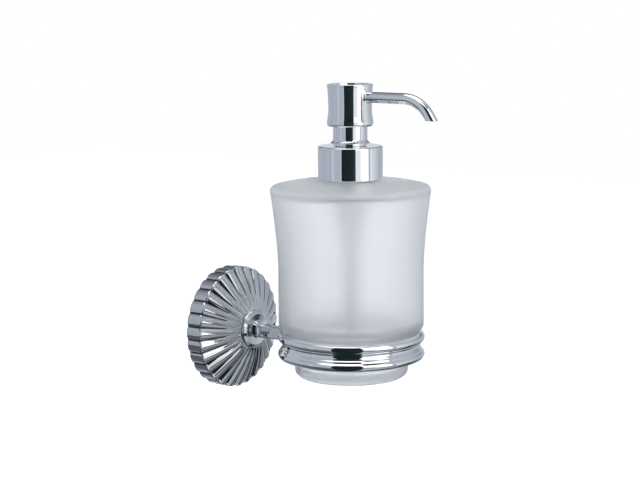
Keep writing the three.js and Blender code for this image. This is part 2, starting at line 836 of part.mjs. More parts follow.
// The head's outer side: rounded bottom, belly, waist and flared top, as [radius, share of height].
function makeHeadShell() {
  const level = (share) => headBottom + headHeight * share;
  const bellyShares = { foot: 0.02, belly: 0.11, over: 0.27 };
  const waistShares = { low: 0.42, high: 0.66, flare: 0.95 };
  const capSeat = capTopLevel - capThickness - seam;
  const shell = turnedRing([
    [headBore, headBottom], [headBottomRadius, headBottom],
    [headBellyRadius, level(bellyShares.foot), headEdgeRound],
    [headBellyRadius, level(bellyShares.belly), headEdgeRound],
    [headWaistRadius, level(bellyShares.over), headEdgeRound],
    [headWaistRadius, level(waistShares.low)], [headWaistRadius, level(waistShares.high)],
    [headTopRadius, level(waistShares.flare)], [headTopRadius, headTop, headLipRound],
    [headBore, headTop], [headBore, capSeat],
  ], mediumSteps);
  const hole = levelRod(spoutRadius + seam, headBore - overrun, headBellyRadius + overrun, spoutLevel);
  return geometryOf(solidOf(shell).subtract(solidOf(hole)));
}

function makeHeadCap() {
  const edge = headBore - seam;
  const bottom = capTopLevel - capThickness;
  return turnedPiece([
    [0, bottom], [edge, bottom], [edge, capTopLevel, capDish],
    [edge - capRim, capTopLevel - capDish], [0, capTopLevel],
  ], mediumSteps);
}

function makeHeadCore() {
  const outer = headBore - seam;
  const socket = stemRadius + seam;
  const hubBottom = coreFloor - hubLength;
  const body = turnedPiece([
    [0, coreTop], [outer, coreTop], [outer, coreFloor], [hubRadius, coreFloor],
    [hubRadius, hubBottom], [socket, hubBottom], [socket, coreFloor],
    [stemBore, coreFloor], [stemBore, spoutLevel + spoutBore], [0, spoutLevel + spoutBore],
  ].reverse(), smallSteps);
  const port = levelRod(spoutBore, 0, spoutSeat + overrun, spoutLevel);
  const seat = levelRod(spoutRadius + seam, spoutSeat - seam, headBore + overrun, spoutLevel);
  return geometryOf(solidOf(body).subtract(solidOf(port)).subtract(solidOf(seat)));
}

// The spout's middle line: level, then an arc that bends down, then straight, in the plane X = 0.
class SpoutLine extends THREE.Curve {
  constructor() {
    super();
    const bend = THREE.MathUtils.degToRad(spoutBendDegrees);
    const level = spoutBendStart - spoutSeat;
    this.parts = [level, spoutBendRadius * bend, spoutTipLength];
    this.bend = bend;
  }

  getPoint(share, target = new THREE.Vector3()) {
    const [level, arc, tip] = this.parts;
    const along = share * (level + arc + tip);
    const turn = Math.min(Math.max(along - level, 0), arc) / spoutBendRadius;
    const rest = Math.max(along - level - arc, 0);
    const out = spoutSeat + Math.min(along, level)
      + spoutBendRadius * Math.sin(turn) + rest * Math.cos(this.bend);
    const drop = spoutBendRadius * (1 - Math.cos(turn)) + rest * Math.sin(this.bend);
    return target.set(0, -out, spoutLevel - drop);
  }

  getPointAt(share, target) {
    return this.getPoint(share, target);
  }
}

function makeSpout() {
  const tube = (radius, extra) => {
    const bent = new THREE.ExtrudeGeometry(roundSection(radius, spoutSides), {
      steps: spoutSteps, extrudePath: new SpoutLine(),
    });
    if (!extra) return solidOf(welded(bent));
    const mouth = levelRod(radius, spoutSeat - overrun, spoutSeat + overrun, spoutLevel);
    return solidOf(welded(bent)).add(solidOf(mouth));
  };
  const outer = tube(spoutRadius, false);
  const bore = tube(spoutBore, true);
  const low = spoutLevel - spoutTipDrop;
  const bladeWidth = 2 * (spoutRadius + overrun);
  const blade = new THREE.BoxGeometry(bladeWidth, 2 * spoutBendStart, 2 * spoutTipDrop);
  blade.translate(0, -spoutBendStart, low - spoutTipDrop);
  return geometryOf(outer.subtract(bore).subtract(solidOf(welded(blade))));
}

piece(wallSide, 'wall_plate', makeWallPlate(), 'zinc');
piece(wallSide, 'rosette', makeRosette(), 'chrome');
piece(wallSide, 'rosette_grub_screw', makeGrubScrew(), 'steel');
piece(wallSide, 'arm_flange', makeArmFlange(), 'chrome');
piece(wallSide, 'arm_screw', makeArmScrew(), 'steel');
piece(wallSide, 'arm_screw_washer', makeWasher(), 'steel');
piece(dispenser, 'arm', makeArm(), 'chrome');
piece(bottleSide, 'holder_ring', makeHolderRing(), 'chrome');
piece(bottleSide, 'seat_gasket', makeSeatGasket(), 'rubber');
piece(bottleSide, 'glass_bottle', makeBottle(), 'glass');
piece(bottleSide, 'neck_gasket', makeNeckGasket(), 'rubber');
piece(bottleSide, 'closure_shell', makeClosureShell(), 'chrome');
piece(bottleSide, 'closure_insert', makeClosureInsert(), 'plastic');
piece(bottleSide, 'pump_housing', makeHousing(), 'plastic');
piece(bottleSide, 'inlet_ball', makeBall(), 'steel');
piece(bottleSide, 'dip_tube', makeDipTube(), 'plastic');
piece(bottleSide, 'chaplet', makeChaplet(), 'plastic');
piece(bottleSide, 'stem', makeStem(), 'plastic');
piece(bottleSide, 'piston_seal', makePistonSeal(), 'rubber');
piece(bottleSide, 'piston_rod', makePistonRod(), 'plastic');
piece(bottleSide, 'return_spring', makeSpring(), 'steel');
piece(bottleSide, 'guide_neck', makeGuideNeck(), 'chrome');
piece(bottleSide, 'head_shell', makeHeadShell(), 'chrome');
piece(bottleSide, 'head_cap', makeHeadCap(), 'chrome');
piece(bottleSide, 'head_core', makeHeadCore(), 'plastic');
piece(bottleSide, 'spout', makeSpout(), 'chrome');

export default dispenser;
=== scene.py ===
# %% [markdown]
# # A lotion dispenser on a wall holder
# The real object is a frosted glass bottle that stands in a chrome ring. A short arm carries the ring
# from a round, fluted rosette on the wall, and a chrome pump closes the bottle. The CAD model has every
# piece at its real size, but its round pieces are made of flat facets. Polished chrome shows each facet,
# so the chrome and glass pieces are made again here as smooth surfaces, in the same places, and so is
# the return spring.

# %% Load the CAD model
import json
import math

import bmesh
import bpy
import numpy as np
from mathutils import Matrix, Vector


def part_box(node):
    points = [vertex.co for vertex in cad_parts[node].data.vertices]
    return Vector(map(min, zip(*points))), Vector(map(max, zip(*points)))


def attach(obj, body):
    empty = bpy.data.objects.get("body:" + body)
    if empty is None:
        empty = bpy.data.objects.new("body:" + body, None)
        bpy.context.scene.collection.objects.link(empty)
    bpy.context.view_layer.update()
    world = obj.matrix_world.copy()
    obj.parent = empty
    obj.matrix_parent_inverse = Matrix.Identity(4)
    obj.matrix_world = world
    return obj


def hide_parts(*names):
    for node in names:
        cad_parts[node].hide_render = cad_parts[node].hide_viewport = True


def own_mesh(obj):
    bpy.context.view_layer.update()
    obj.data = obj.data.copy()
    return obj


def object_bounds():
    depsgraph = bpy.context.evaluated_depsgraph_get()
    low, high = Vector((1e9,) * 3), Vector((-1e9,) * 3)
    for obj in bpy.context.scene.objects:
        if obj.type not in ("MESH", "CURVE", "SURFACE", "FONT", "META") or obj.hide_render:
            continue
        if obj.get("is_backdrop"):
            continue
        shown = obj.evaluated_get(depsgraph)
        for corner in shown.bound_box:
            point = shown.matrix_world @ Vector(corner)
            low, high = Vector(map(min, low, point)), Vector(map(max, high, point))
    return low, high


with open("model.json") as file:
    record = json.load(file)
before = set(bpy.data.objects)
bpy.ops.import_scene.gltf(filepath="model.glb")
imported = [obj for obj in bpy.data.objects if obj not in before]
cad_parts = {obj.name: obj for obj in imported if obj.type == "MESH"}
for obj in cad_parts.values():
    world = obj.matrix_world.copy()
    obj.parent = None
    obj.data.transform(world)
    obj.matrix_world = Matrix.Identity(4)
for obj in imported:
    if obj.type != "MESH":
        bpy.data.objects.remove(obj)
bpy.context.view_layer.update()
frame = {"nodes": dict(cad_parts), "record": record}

# %% [markdown]
# ## Camera
# The photograph was taken from the front left and a little above, from about 85 cm, with a long lens.
# A camera needs a place, a direction and a focal length. The direction is built from four turns: a
# heading, a small pan that puts the bottle right of the middle, a tilt down and a slight roll. A Track
# To constraint would aim the camera at one point, but it knows no roll, so the turns go straight into
# the camera's matrix. The focal length is stated in pixels of the 640 pixel wide picture, and Blender
# wants it on a 36 mm sensor.

# %% Camera
MM = 0.001
REACH = 83.8                       # from the wall to the bottle's axis
HEADING = math.radians(-53.99)
DISTANCE, HEIGHT = 852.64, 183.9   # from the bottle's axis, and above the origin
PAN, TILT, ROLL = math.radians(1.054), math.radians(8.678), math.radians(-0.459)
FOCAL_PIXELS, PICTURE_WIDTH = 1691.7, 640

side = np.array([math.cos(HEADING), math.sin(HEADING), 0.0])
ahead = np.array([-math.sin(HEADING), math.cos(HEADING), 0.0])
upward = np.array([0.0, 0.0, 1.0])
place = np.array([math.sin(HEADING) * DISTANCE, -REACH - math.cos(HEADING) * DISTANCE, HEIGHT])
level = ahead * math.cos(PAN) - side * math.sin(PAN)
right = side * math.cos(PAN) + ahead * math.sin(PAN)
look = level * math.cos(TILT) - upward * math.sin(TILT)
top = upward * math.cos(TILT) + level * math.sin(TILT)
right, top = (right * math.cos(ROLL) + top * math.sin(ROLL),
              top * math.cos(ROLL) - right * math.sin(ROLL))

camera_data = bpy.data.cameras.new("camera")
camera_data.sensor_width = 36.0
camera_data.lens = FOCAL_PIXELS / PICTURE_WIDTH * camera_data.sensor_width
camera_data.clip_start, camera_data.clip_end = 0.05, 20.0
camera = bpy.data.objects.new("camera", camera_data)
turn = Matrix((right, top, -look)).transposed()
camera.matrix_world = Matrix.Translation(Vector(place * MM)) @ turn.to_4x4()
bpy.context.collection.objects.link(camera)
bpy.context.scene.camera = camera
print("lens in mm:", round(camera_data.lens, 2))

# %% [markdown]
# ## From a grid of points to a piece
# Every smooth piece is a sheet of points with two parameters, such as the way along a profile and the
# angle round an axis. One helper joins neighbouring points by four-sided faces. It merges the points
# that fall together, which closes the poles and the seam, and turns the faces outwards. Blender's Spin
# tool could turn a profile too, but a grid gives flutes, bends and helices in the same way.

# %% Grid to mesh
def grid_piece(name, rows, body, close_rows=False, close_columns=True, groove=None):
    """Makes a piece from points in millimetres, as an array of shape (rows, columns, 3).

    Face (i, j) joins the points (i, j), (i, j + 1), (i + 1, j + 1) and (i + 1, j). With close_rows or
    close_columns, the last row or column is joined to the first. A value per point can be kept with the
    mesh as the attribute "groove", which the finish reads to paint shade.
    """
    index = np.arange(rows.shape[0] * rows.shape[1]).reshape(rows.shape[:2])
    if close_rows:
        index = np.vstack([index, index[:1]])
    if close_columns:
        index = np.hstack([index, index[:, :1]])
    faces = np.stack([index[:-1, :-1], index[:-1, 1:], index[1:, 1:], index[1:, :-1]], axis=-1)
    mesh = bpy.data.meshes.new(name)
    mesh.from_pydata(rows.reshape(-1, 3) * MM, [], faces.reshape(-1, 4))
    if groove is not None:
        mesh.attributes.new("groove", "FLOAT", "POINT").data.foreach_set("value", groove.ravel())
    return finish_piece(name, mesh, body)


def finish_piece(name, mesh, body):
    """Merges doubled points, turns faces outwards, shades smooth and lets the piece ride on a body."""
    work = bmesh.new()
    work.from_mesh(mesh)
    bmesh.ops.remove_doubles(work, verts=work.verts, dist=1e-7)
    bmesh.ops.recalc_face_normals(work, faces=work.faces)
    work.to_mesh(mesh)
    work.free()
    mesh.polygons.foreach_set("use_smooth", np.ones(len(mesh.polygons), dtype=bool))
    piece = bpy.data.objects.new(name, mesh)
    bpy.context.collection.objects.link(piece)
    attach(piece, body)
    print(name, "faces:", len(mesh.polygons))
    return piece


# %% [markdown]
# ## Profiles
# A turned piece starts as a drawing of half its section. Corners that show are never quite sharp,
# because a sharp edge in metal would cut a finger and would not catch the light. So a profile is
# written as corners with a radius, and each is replaced by the arc that touches both of its sides. A
# Bevel modifier would round all edges alike, and here each corner has its own radius.

# %% Rounded profiles
def profile(corners, arc_points=9, spacing=2.5, edge=0.12):
    """Points along a line through corners (across, up, radius), with each corner rounded by an arc.

    The arc of radius r at a corner with opening angle a starts r / tan(a / 2) from the corner and is
    centred r / sin(a / 2) along the corner's bisector. Straight parts get a point at the distance edge
    from each arc, and then one for each spacing, so that smooth shading stays on the arcs.
    """
    corners = np.array([(c[0], c[1], c[2] if len(c) > 2 else 0.0) for c in corners])
    points = corners[:, :2]
    runs = [points[:1]]
    for before, here, after, radius in zip(points, points[1:], points[2:], corners[1:-1, 2]):
        if radius <= 0:
            runs.append(here[None])
            continue
        u, v = before - here, after - here
        u, v = u / np.linalg.norm(u), v / np.linalg.norm(v)
        opening = math.acos(np.clip(u @ v, -1, 1))
        centre = here + (u + v) / np.linalg.norm(u + v) * radius / math.sin(opening / 2)
        back = radius / math.tan(opening / 2)
        a, b = here + u * back - centre, here + v * back - centre
        swing = math.pi - opening
        w = np.linspace(0, 1, arc_points)[:, None]
        runs.append(centre + (np.sin((1 - w) * swing) * a + np.sin(w * swing) * b) / math.sin(swing))
    runs.append(points[-1:])
    filled = [runs[0]]
    for before, after in zip(runs, runs[1:]):
        a, b = before[-1], after[0]
        length = np.linalg.norm(b - a)
        if length > 3 * edge:
            inner = np.linspace(edge, length - edge, max(2, int(length / spacing) + 1))[:, None]
            filled.append(a + (b - a) * inner / length)
        filled.append(after)
    return np.vstack(filled)


def about_bottle_axis(line, steps=256):
    """Turns a profile (radius, level) about the bottle's axis.

    At the angle t: x = radius cos t, y = radius sin t - reach, z = level.
    """
    angle = np.linspace(0, 2 * np.pi, steps, endpoint=False)
    radius, up = line[:, :1], line[:, 1:2]
    return np.stack([radius * np.cos(angle), radius * np.sin(angle) - REACH, up + 0 * angle], axis=-1)


def about_wall_axis(line, steps=256):
    """Turns a profile (radius, distance) about the line that leaves the wall at the origin.

    At the angle t: x = radius cos t, y = -distance, z = radius sin t.
    """
    angle = np.linspace(0, 2 * np.pi, steps, endpoint=False)
    radius, out = line[:, :1], line[:, 1:2]
    return np.stack([radius * np.cos(angle), -out + 0 * angle, radius * np.sin(angle)], axis=-1)

# %% [markdown]
# ## The bottle
# The bottle is blown glass, frosted on the outside. From the bottom up it has a narrow foot, which
# passes through the ring, a cone that sits on the ring's seat, a body that flares a little towards the
# shoulder, a rolled lip, and a low domed shoulder with a neck. The wall is 3.3 mm thick and a little
# more at the shoulder. Light bends at both of its sides, which leaves a crisp dark band under the
# shoulder, so the inside is modelled as well. A Solidify modifier would give one wall all over. One
# profile that runs up the outside and down the inside gives each part its own.

# %% Bottle
FOOT_RADIUS, FOOT_BOTTOM, CONE_BOTTOM = 29.1, -16.4, 1.3
BODY_RADIUS, WAIST_RADIUS, WAIST_LEVEL = 37.3, 37.15, 38.0
LIP_RADIUS, LIP_LEVEL, LIP_ROUND, LIP_START, FLARE_POWER = 40.97, 79.3, 2.5, 0.36, 1.6
SHOULDER_TOP, NECK_RADIUS, NECK_BORE, NECK_TOP = 84.75, 12.6, 9.8, 97.15
FOOT_HOLLOW, NECK_STEP = 0.8, 1.0   # the foot stands on a rim, and the dome ends short of the neck
GLASS_WALL, SHOULDER_WALL, FLOOR_LEVEL = 3.3, 4.2, -11.2
INNER_SHOULDER, INNER_FLARE = 78.2, 58.6   # levels of the inside's corners


def flare(level):
    """Radius of the body above the waist: it grows by a power of the share of the height to the lip."""
    share = np.clip((level - WAIST_LEVEL) / (LIP_LEVEL - WAIST_LEVEL), 0, 1)
    return WAIST_RADIUS + (LIP_RADIUS - WAIST_RADIUS) * share ** FLARE_POWER


def bottle_profile():
    """Outside from the foot's centre to the neck's rim, then down the inside to the floor's centre.

    The lip is an arc that starts along the flare and ends along the dome. The dome rises to the neck as
    one minus the square of the share of the radius.
    """
    body = profile([
        (0, FOOT_BOTTOM + FOOT_HOLLOW), (20.6, FOOT_BOTTOM + FOOT_HOLLOW, 0.6), (21.6, FOOT_BOTTOM, 0.6),
        (FOOT_RADIUS, FOOT_BOTTOM, 3.6), (FOOT_RADIUS, CONE_BOTTOM, 0.5),
        (BODY_RADIUS, CONE_BOTTOM + BODY_RADIUS - FOOT_RADIUS, 4.5), (WAIST_RADIUS, WAIST_LEVEL),
    ])
    levels = np.linspace(WAIST_LEVEL, LIP_LEVEL - LIP_START, 36)[1:]
    sides = np.stack([flare(levels), levels], axis=1)
    arc_centre = np.array([LIP_RADIUS - LIP_ROUND, LIP_LEVEL])
    swing = np.radians(np.linspace(-6, 76, 18))[:, None]
    lip = arc_centre + LIP_ROUND * np.hstack([np.cos(swing), np.sin(swing)])
    share = np.linspace(1, 0, 40)[1:-1]
    dome_radius = NECK_RADIUS + NECK_STEP + (lip[-1, 0] - NECK_RADIUS - NECK_STEP) * share
    dome = np.stack([dome_radius, lip[-1, 1] + (SHOULDER_TOP - lip[-1, 1]) * (1 - share ** 2)], axis=1)
    neck = profile([
        (NECK_RADIUS + 1.1, SHOULDER_TOP), (NECK_RADIUS, SHOULDER_TOP, 0.9), (NECK_RADIUS, NECK_TOP, 0.6),
        (NECK_BORE, NECK_TOP, 0.6), (NECK_BORE, SHOULDER_TOP - SHOULDER_WALL, 1.2),
        (flare(INNER_SHOULDER) - GLASS_WALL, INNER_SHOULDER, 2.0),
        (flare(INNER_FLARE) - GLASS_WALL, INNER_FLARE), (WAIST_RADIUS - GLASS_WALL, WAIST_LEVEL),
        (WAIST_RADIUS - GLASS_WALL, CONE_BOTTOM + BODY_RADIUS - FOOT_RADIUS + GLASS_WALL, 3),
        (FOOT_RADIUS - GLASS_WALL, CONE_BOTTOM + GLASS_WALL, 2),
        (FOOT_RADIUS - GLASS_WALL, FLOOR_LEVEL, 2.5), (0, FLOOR_LEVEL),
    ])
    return np.vstack([body, sides, lip, dome, neck])


bottle = grid_piece(
    "frosted_bottle", about_bottle_axis(bottle_profile(), 280), "bottle")
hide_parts("glass_bottle")

# %% [markdown]
# The collar screws onto a thread on the neck, which shows when the collar is off. A thread is a ridge
# of one section that is carried up a helix. Its height grows from nothing over the first eighth of a
# turn and falls again over the last, as in a glass mould. A Screw modifier can't fade the ridge out.

# %% Neck thread
def capped(tube):
    """Closes a tube's grid by a row at each end that holds the middle of the end's section."""
    ends = tube[[0, -1]].mean(axis=1, keepdims=True)
    first, last = (np.repeat(end[None], tube.shape[1], axis=1) for end in ends)
    return np.concatenate([first, tube, last])


def thread_ridge(radius, height, start, pitch, turns, root_width=2.4, crest_width=1.2, steps=160):
    """A ridge on a helix: at share s the angle is 2 pi turns s and the level is start + pitch turns s."""
    share = np.linspace(0, 1, steps)
    grow = np.clip(np.minimum(share, 1 - share) * turns * 8, 0, 1)[:, None]
    across = np.array([-root_width, -crest_width, -crest_width * 0.5, crest_width * 0.5, crest_width,
                       root_width, 0]) / 2
    out = np.array([-0.4, 0.86, 1, 1, 0.86, -0.4, -0.4])
    reach_out = radius + np.where(out > 0, out * height * grow, out)
    angle = 2 * np.pi * turns * share[:, None]
    level = start + pitch * turns * share[:, None] + across
    ridge = np.stack([reach_out * np.cos(angle), reach_out * np.sin(angle) - REACH, level], axis=-1)
    return capped(ridge)


THREAD_PITCH, THREAD_TURNS, THREAD_HEIGHT, THREAD_DROP = 4.23, 1.25, 1.1, 1.9
thread_start = NECK_TOP - THREAD_DROP - THREAD_PITCH * THREAD_TURNS
neck_thread = grid_piece(
    "neck_thread", thread_ridge(NECK_RADIUS, THREAD_HEIGHT, thread_start, THREAD_PITCH, THREAD_TURNS),
    "bottle")

# %% [markdown]
# ## The holder ring
# The ring is cast in brass, polished and chromed. Its outside has two rounded beads, and the upper one
# is a little taller. Between them lies a round cove, with a narrow ledge on each of its sides.
# Inside, a cone carries the bottle. Chrome shows each change of direction as a line of light or shade,
# so the outside is a chain of short quadratic curves and not a row of arcs. The section is turned about
# the bottle's axis.

# %% Ring
RING_BORE, RING_BOTTOM = 29.6, -7.1
GASKET_DEPTH = 1.1                 # the soft cone between ring and glass, with its seams


def bend(start, control, end, count=12):
    """A quadratic curve: the points (1-t)^2 start + 2t(1-t) control + t^2 end for t from 0 to 1."""
    t = np.linspace(0, 1, count)[:, None]
    return (1 - t) ** 2 * np.array(start) + 2 * t * (1 - t) * np.array(control) + t ** 2 * np.array(end)


RING_START = (35.3, -7.1)
RING_CURVES = [                    # control point, end point and number of points of each curve
    ((36.9, -6.95), (37.5, -5.6), 14), ((37.75, -5.0), (37.72, -4.55), 8),      # lower bead
    ((37.7, -3.85), (37.2, -3.35), 10), ((36.95, -3.08), (36.7, -2.82), 5),
    ((36.6, -2.7), (36.55, -2.55), 4), ((36.45, -2.3), (36.36, -2.1), 4),       # ledge
    ((36.3, -1.98), (36.2, -1.86), 4), ((35.97, -1.6), (35.75, -1.34), 5),
    ((34.9, -0.5), (34.78, 0.3), 12), ((34.7, 1.0), (35.2, 1.25), 10),          # cove
    ((36.3, 1.7), (36.8, 2.0), 8), ((37.75, 2.75), (37.77, 4.0), 14),           # upper bead
    ((37.77, 4.75), (37.5, 5.2), 10), ((37.2, 5.8), (36.6, 6.05), 10),
    ((35.8, 6.35), (34.9, 6.6), 8),
]


def ring_outside():
    """The ring's outer profile (radius, level) from bottom to top: each curve goes on from the last."""
    start, line = RING_START, [[RING_START]]
    for control, end, count in RING_CURVES:
        line.append(bend(start, control, end, count)[1:])
        start = end
    return np.vstack(line)


def cone_level(radius, depth):
    """Level of the bottle's 45 degree cone at a radius, lowered by a depth along the cone's normal."""
    return CONE_BOTTOM + radius - FOOT_RADIUS - depth * math.sqrt(2)


outside = ring_outside()
rim_radius = outside[-1, 0] - 0.4
inside = profile([
    outside[-1], (rim_radius, outside[-1, 1] - 0.2, 0.15),
    (rim_radius, cone_level(rim_radius, GASKET_DEPTH)),
    (RING_BORE, cone_level(RING_BORE, GASKET_DEPTH), 0.3), (RING_BORE, RING_BOTTOM + 0.4, 0.3), outside[0],
])[1:]
ring = grid_piece(
    "ring_smooth", about_bottle_axis(np.vstack([outside, inside]), 320), "wall_side")
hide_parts("holder_ring")

# %% [markdown]
# ## The rosette
# The rosette covers the wall plate. It is pressed from sheet metal with 28 flutes: each is a convex
# rib, and two ribs meet in a sharp groove. On the rim the ribs are broad and almost flat, and on the
# face they are rounder and fade out towards the flange. One rib could be copied round by an Array
# modifier, but then its seams would have to meet. Here the whole shell is one grid: the profile runs
# from the wall over the rim and the face and back inside, and a groove depth goes with each point. The
# depth is also kept as an attribute, so that the finish can paint shade into the bottoms of the grooves.

# %% Rosette
FLUTES = 28
ROSETTE_RADIUS, RIM_DEPTH, PAD_LEVEL, PAD_RADIUS = 32.65, 9.3, 19.0, 10.9
RIM_GROOVE, FACE_GROOVE = 0.95, 1.5   # depths of the grooves, across the rim and into the face
EDGE_ROUND, FACE_SWELL = 0.5, 0.6     # the edge's radius, and how far the face bulges
FLUTE_TURN = math.radians(-1.5)


def groove(angle, power):
    """Nought on the crest of a rib and one in the groove: the distance from the crest, to a power."""
    share = np.mod(FLUTES * angle / (2 * np.pi), 1)
    return (2 * np.minimum(share, 1 - share)) ** power


def rosette_rows():
    """The rosette's surface. Rows hold radius, level, groove depth across and groove depth inwards.

    The rim is straight, the edge a quarter circle, and the face a slope with half a sine wave on it.
    Towards the pad, with s from 0 to 1, the depths fall as (1 - s)^2 across and (1 - s)^0.7 inwards.
    """
    edge_radius = ROSETTE_RADIUS - EDGE_ROUND
    up = np.linspace(0, RIM_DEPTH - EDGE_ROUND, 8)
    rim = np.stack([0 * up + ROSETTE_RADIUS, up, 0 * up + RIM_GROOVE, 0 * up], axis=1)
    t = np.linspace(0, 1, 7)[1:, None]
    bevel = np.hstack([
        ROSETTE_RADIUS - EDGE_ROUND * (1 - np.cos(t * np.pi / 2)),
        RIM_DEPTH - EDGE_ROUND + EDGE_ROUND * np.sin(t * np.pi / 2), RIM_GROOVE + 0 * t, FACE_GROOVE * t,
    ])
    s = np.linspace(0, 1, 46)[1:, None]
    face = np.hstack([
        edge_radius + (PAD_RADIUS - edge_radius) * s,
        RIM_DEPTH + (PAD_LEVEL - RIM_DEPTH) * s + FACE_SWELL * np.sin(np.pi * s),
        RIM_GROOVE * (1 - s) ** 2, FACE_GROOVE * (1 - s) ** 0.7,
    ])
    back = np.array([(2.8, 19.0), (2.8, 16.0), (8.5, 16.0), (26.7, 6.7), (26.7, 0.0)])
    return np.vstack([rim, bevel, face, np.hstack([back, np.zeros((5, 2))])])


def rosette_grid(columns_per_flute=24):
    """Each row is a circle of its radius and level, less the groove depths times the groove's share.

    The share goes with the square of the distance from the rib's crest, and with the power 2.6 on the
    rim, where the ribs are flatter. Returns the points, and the depth that the attribute keeps.
    """
    angle = np.linspace(0, 2 * np.pi, FLUTES * columns_per_flute, endpoint=False)
    radius, level, across, inwards = (column[:, None] for column in rosette_rows().T)
    cut = groove(angle - FLUTE_TURN, 2 + 0.6 * (level < RIM_DEPTH - 0.4))
    r, out = radius - across * cut, level - inwards * cut
    depth = np.clip((across + inwards) / RIM_GROOVE, 0, 1) * groove(angle - FLUTE_TURN, 1)
    return np.stack([r * np.cos(angle), -out, r * np.sin(angle)], axis=-1), depth


rosette_points, rosette_depth = rosette_grid()
rosette = grid_piece("fluted_rosette", rosette_points, "wall_side", close_rows=True,
                     groove=rosette_depth)
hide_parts("rosette")

# %% [markdown]
# ## Flange and arm
# A turned flange stands on the rosette's pad. Its face is slightly dished, and a short conical neck
# rises from the middle to meet the arm. The arm is a bar with a rounded rectangular section that gets a
# little lower towards the ring. Its far end follows the ring's beads and groove, because it is fitted
# to them and soldered on. A Boolean would cut it to that shape too, but it leaves ragged faces that
# chrome shows, so each line along the bar is simply as long as it has to be.

# %% Flange
FLANGE_BACK, FLANGE_FRONT, NECK_END, ARM_ROOT = 19.15, 21.75, 23.0, 23.05
FLANGE_RADIUS, FACE_RADIUS, FLANGE_BORE = 10.4, 8.65, 2.65
flange_line = profile([
    (6, FLANGE_BACK), (FLANGE_RADIUS, FLANGE_BACK, 0.15), (FLANGE_RADIUS, FLANGE_BACK + 1, 0.8),
    (FACE_RADIUS, FLANGE_FRONT, 0.9), (4.6, 21.2, 0.3), (3.45, NECK_END), (FLANGE_BORE, NECK_END),
    (FLANGE_BORE, FLANGE_BACK), (6, FLANGE_BACK),
])
flange = grid_piece("flange_smooth", about_wall_axis(flange_line, 192), "wall_side")
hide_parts("arm_flange")

# %% Arm
def arm_grid(half_width=3.0, root_half=3.45, tip_half=3.1, drop=0.35, corner=0.8, gap=0.06, steps=40):
    """A rounded rectangle carried along the arm. At share s its half height is root + (tip - root) s.

    Each line along the arm ends where it meets the ring: at reach - sqrt(R^2 - x^2), with R the ring's
    outer radius at the line's level and a hairline gap. The first two rows are inset, as a small bevel.
    """
    section = profile([
        (half_width, 0), (half_width, root_half, corner), (-half_width, root_half, corner),
        (-half_width, -root_half, corner), (half_width, -root_half, corner), (half_width, 0),
    ], spacing=0.8)[:-1]
    x, high = section[:, 0], section[:, 1]
    level = high * tip_half / root_half - drop
    ring_radius = np.interp(level, outside[:, 1], outside[:, 0]) + gap
    end = REACH - np.sqrt(ring_radius ** 2 - x ** 2)
    share = np.concatenate([[0, 0.006, 0.02], np.linspace(0.05, 1, steps)])[:, None]
    out = ARM_ROOT + (end - ARM_ROOT) * share
    inset = np.ones_like(share)
    inset[0], inset[1] = 0.93, 0.98
    up = high * (1 + (tip_half / root_half - 1) * share) * inset - drop
    return capped(np.stack([x * inset, -out, up], axis=-1))


arm = grid_piece("arm_smooth", arm_grid(), "wall_side")
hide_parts("arm")

# %% [markdown]
# ## Collar, guide sleeve and head
# The pump's metal parts are drawn from thin sheet. The collar is a plain cup with a small round edge,
# the guide sleeve flares at its foot in a hollow curve, and the head has a belly, a waist and a
# slightly wider top. The head is pressed and slides down over the sleeve, so it is an open shell. All
# three are turned profiles, with a real wall thickness. The head's side has no corner in it, so it is
# a smooth curve through measured points.

# %% Collar and sleeve
COLLAR_RADIUS, COLLAR_INSIDE, COLLAR_HOLE = 16.5, 15.75, 7.7
COLLAR_BOTTOM, COLLAR_UNDER, COLLAR_TOP, COLLAR_MIDDLE = 85.3, 101.2, 102.0, 101.6
collar_line = profile([
    (COLLAR_HOLE, COLLAR_MIDDLE), (COLLAR_HOLE, COLLAR_UNDER), (COLLAR_INSIDE, COLLAR_UNDER, 0.3),
    (COLLAR_INSIDE, COLLAR_BOTTOM), (COLLAR_RADIUS, COLLAR_BOTTOM, 0.2), (COLLAR_RADIUS, COLLAR_TOP, 0.9),
    (COLLAR_HOLE, COLLAR_TOP), (COLLAR_HOLE, COLLAR_MIDDLE),
])
collar = grid_piece("collar_smooth", about_bottle_axis(collar_line, 192), "closure")
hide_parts("closure_shell")

SLEEVE_RADIUS, SLEEVE_BORE, SLEEVE_BOTTOM, SLEEVE_TOP = 8.72, 7.55, 102.15, 115.2
sleeve_flare = bend((10.08, 103.62), (9.1, 104.24), (SLEEVE_RADIUS, 105.2), 16)
sleeve_line = np.vstack([
    profile([(8, SLEEVE_BOTTOM), (8.5, SLEEVE_BOTTOM, 0.06), (8.5, 103.35, 0.25), (10.1, 103.35, 0.1),
             sleeve_flare[0]]),
    sleeve_flare[1:],
    profile([sleeve_flare[-1], (SLEEVE_RADIUS, SLEEVE_TOP, 0.2), (SLEEVE_BORE, SLEEVE_TOP, 0.2),
             (SLEEVE_BORE, SLEEVE_BOTTOM), (8, SLEEVE_BOTTOM)])[1:],
])
sleeve = grid_piece("sleeve_smooth", about_bottle_axis(sleeve_line, 160), "pump_body")
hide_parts("guide_neck")

# %% Head
HEAD_BOTTOM, HEAD_TOP, HEAD_BORE, RIM_START = 112.0, 133.1, 9.6, (11.66, 132.5)


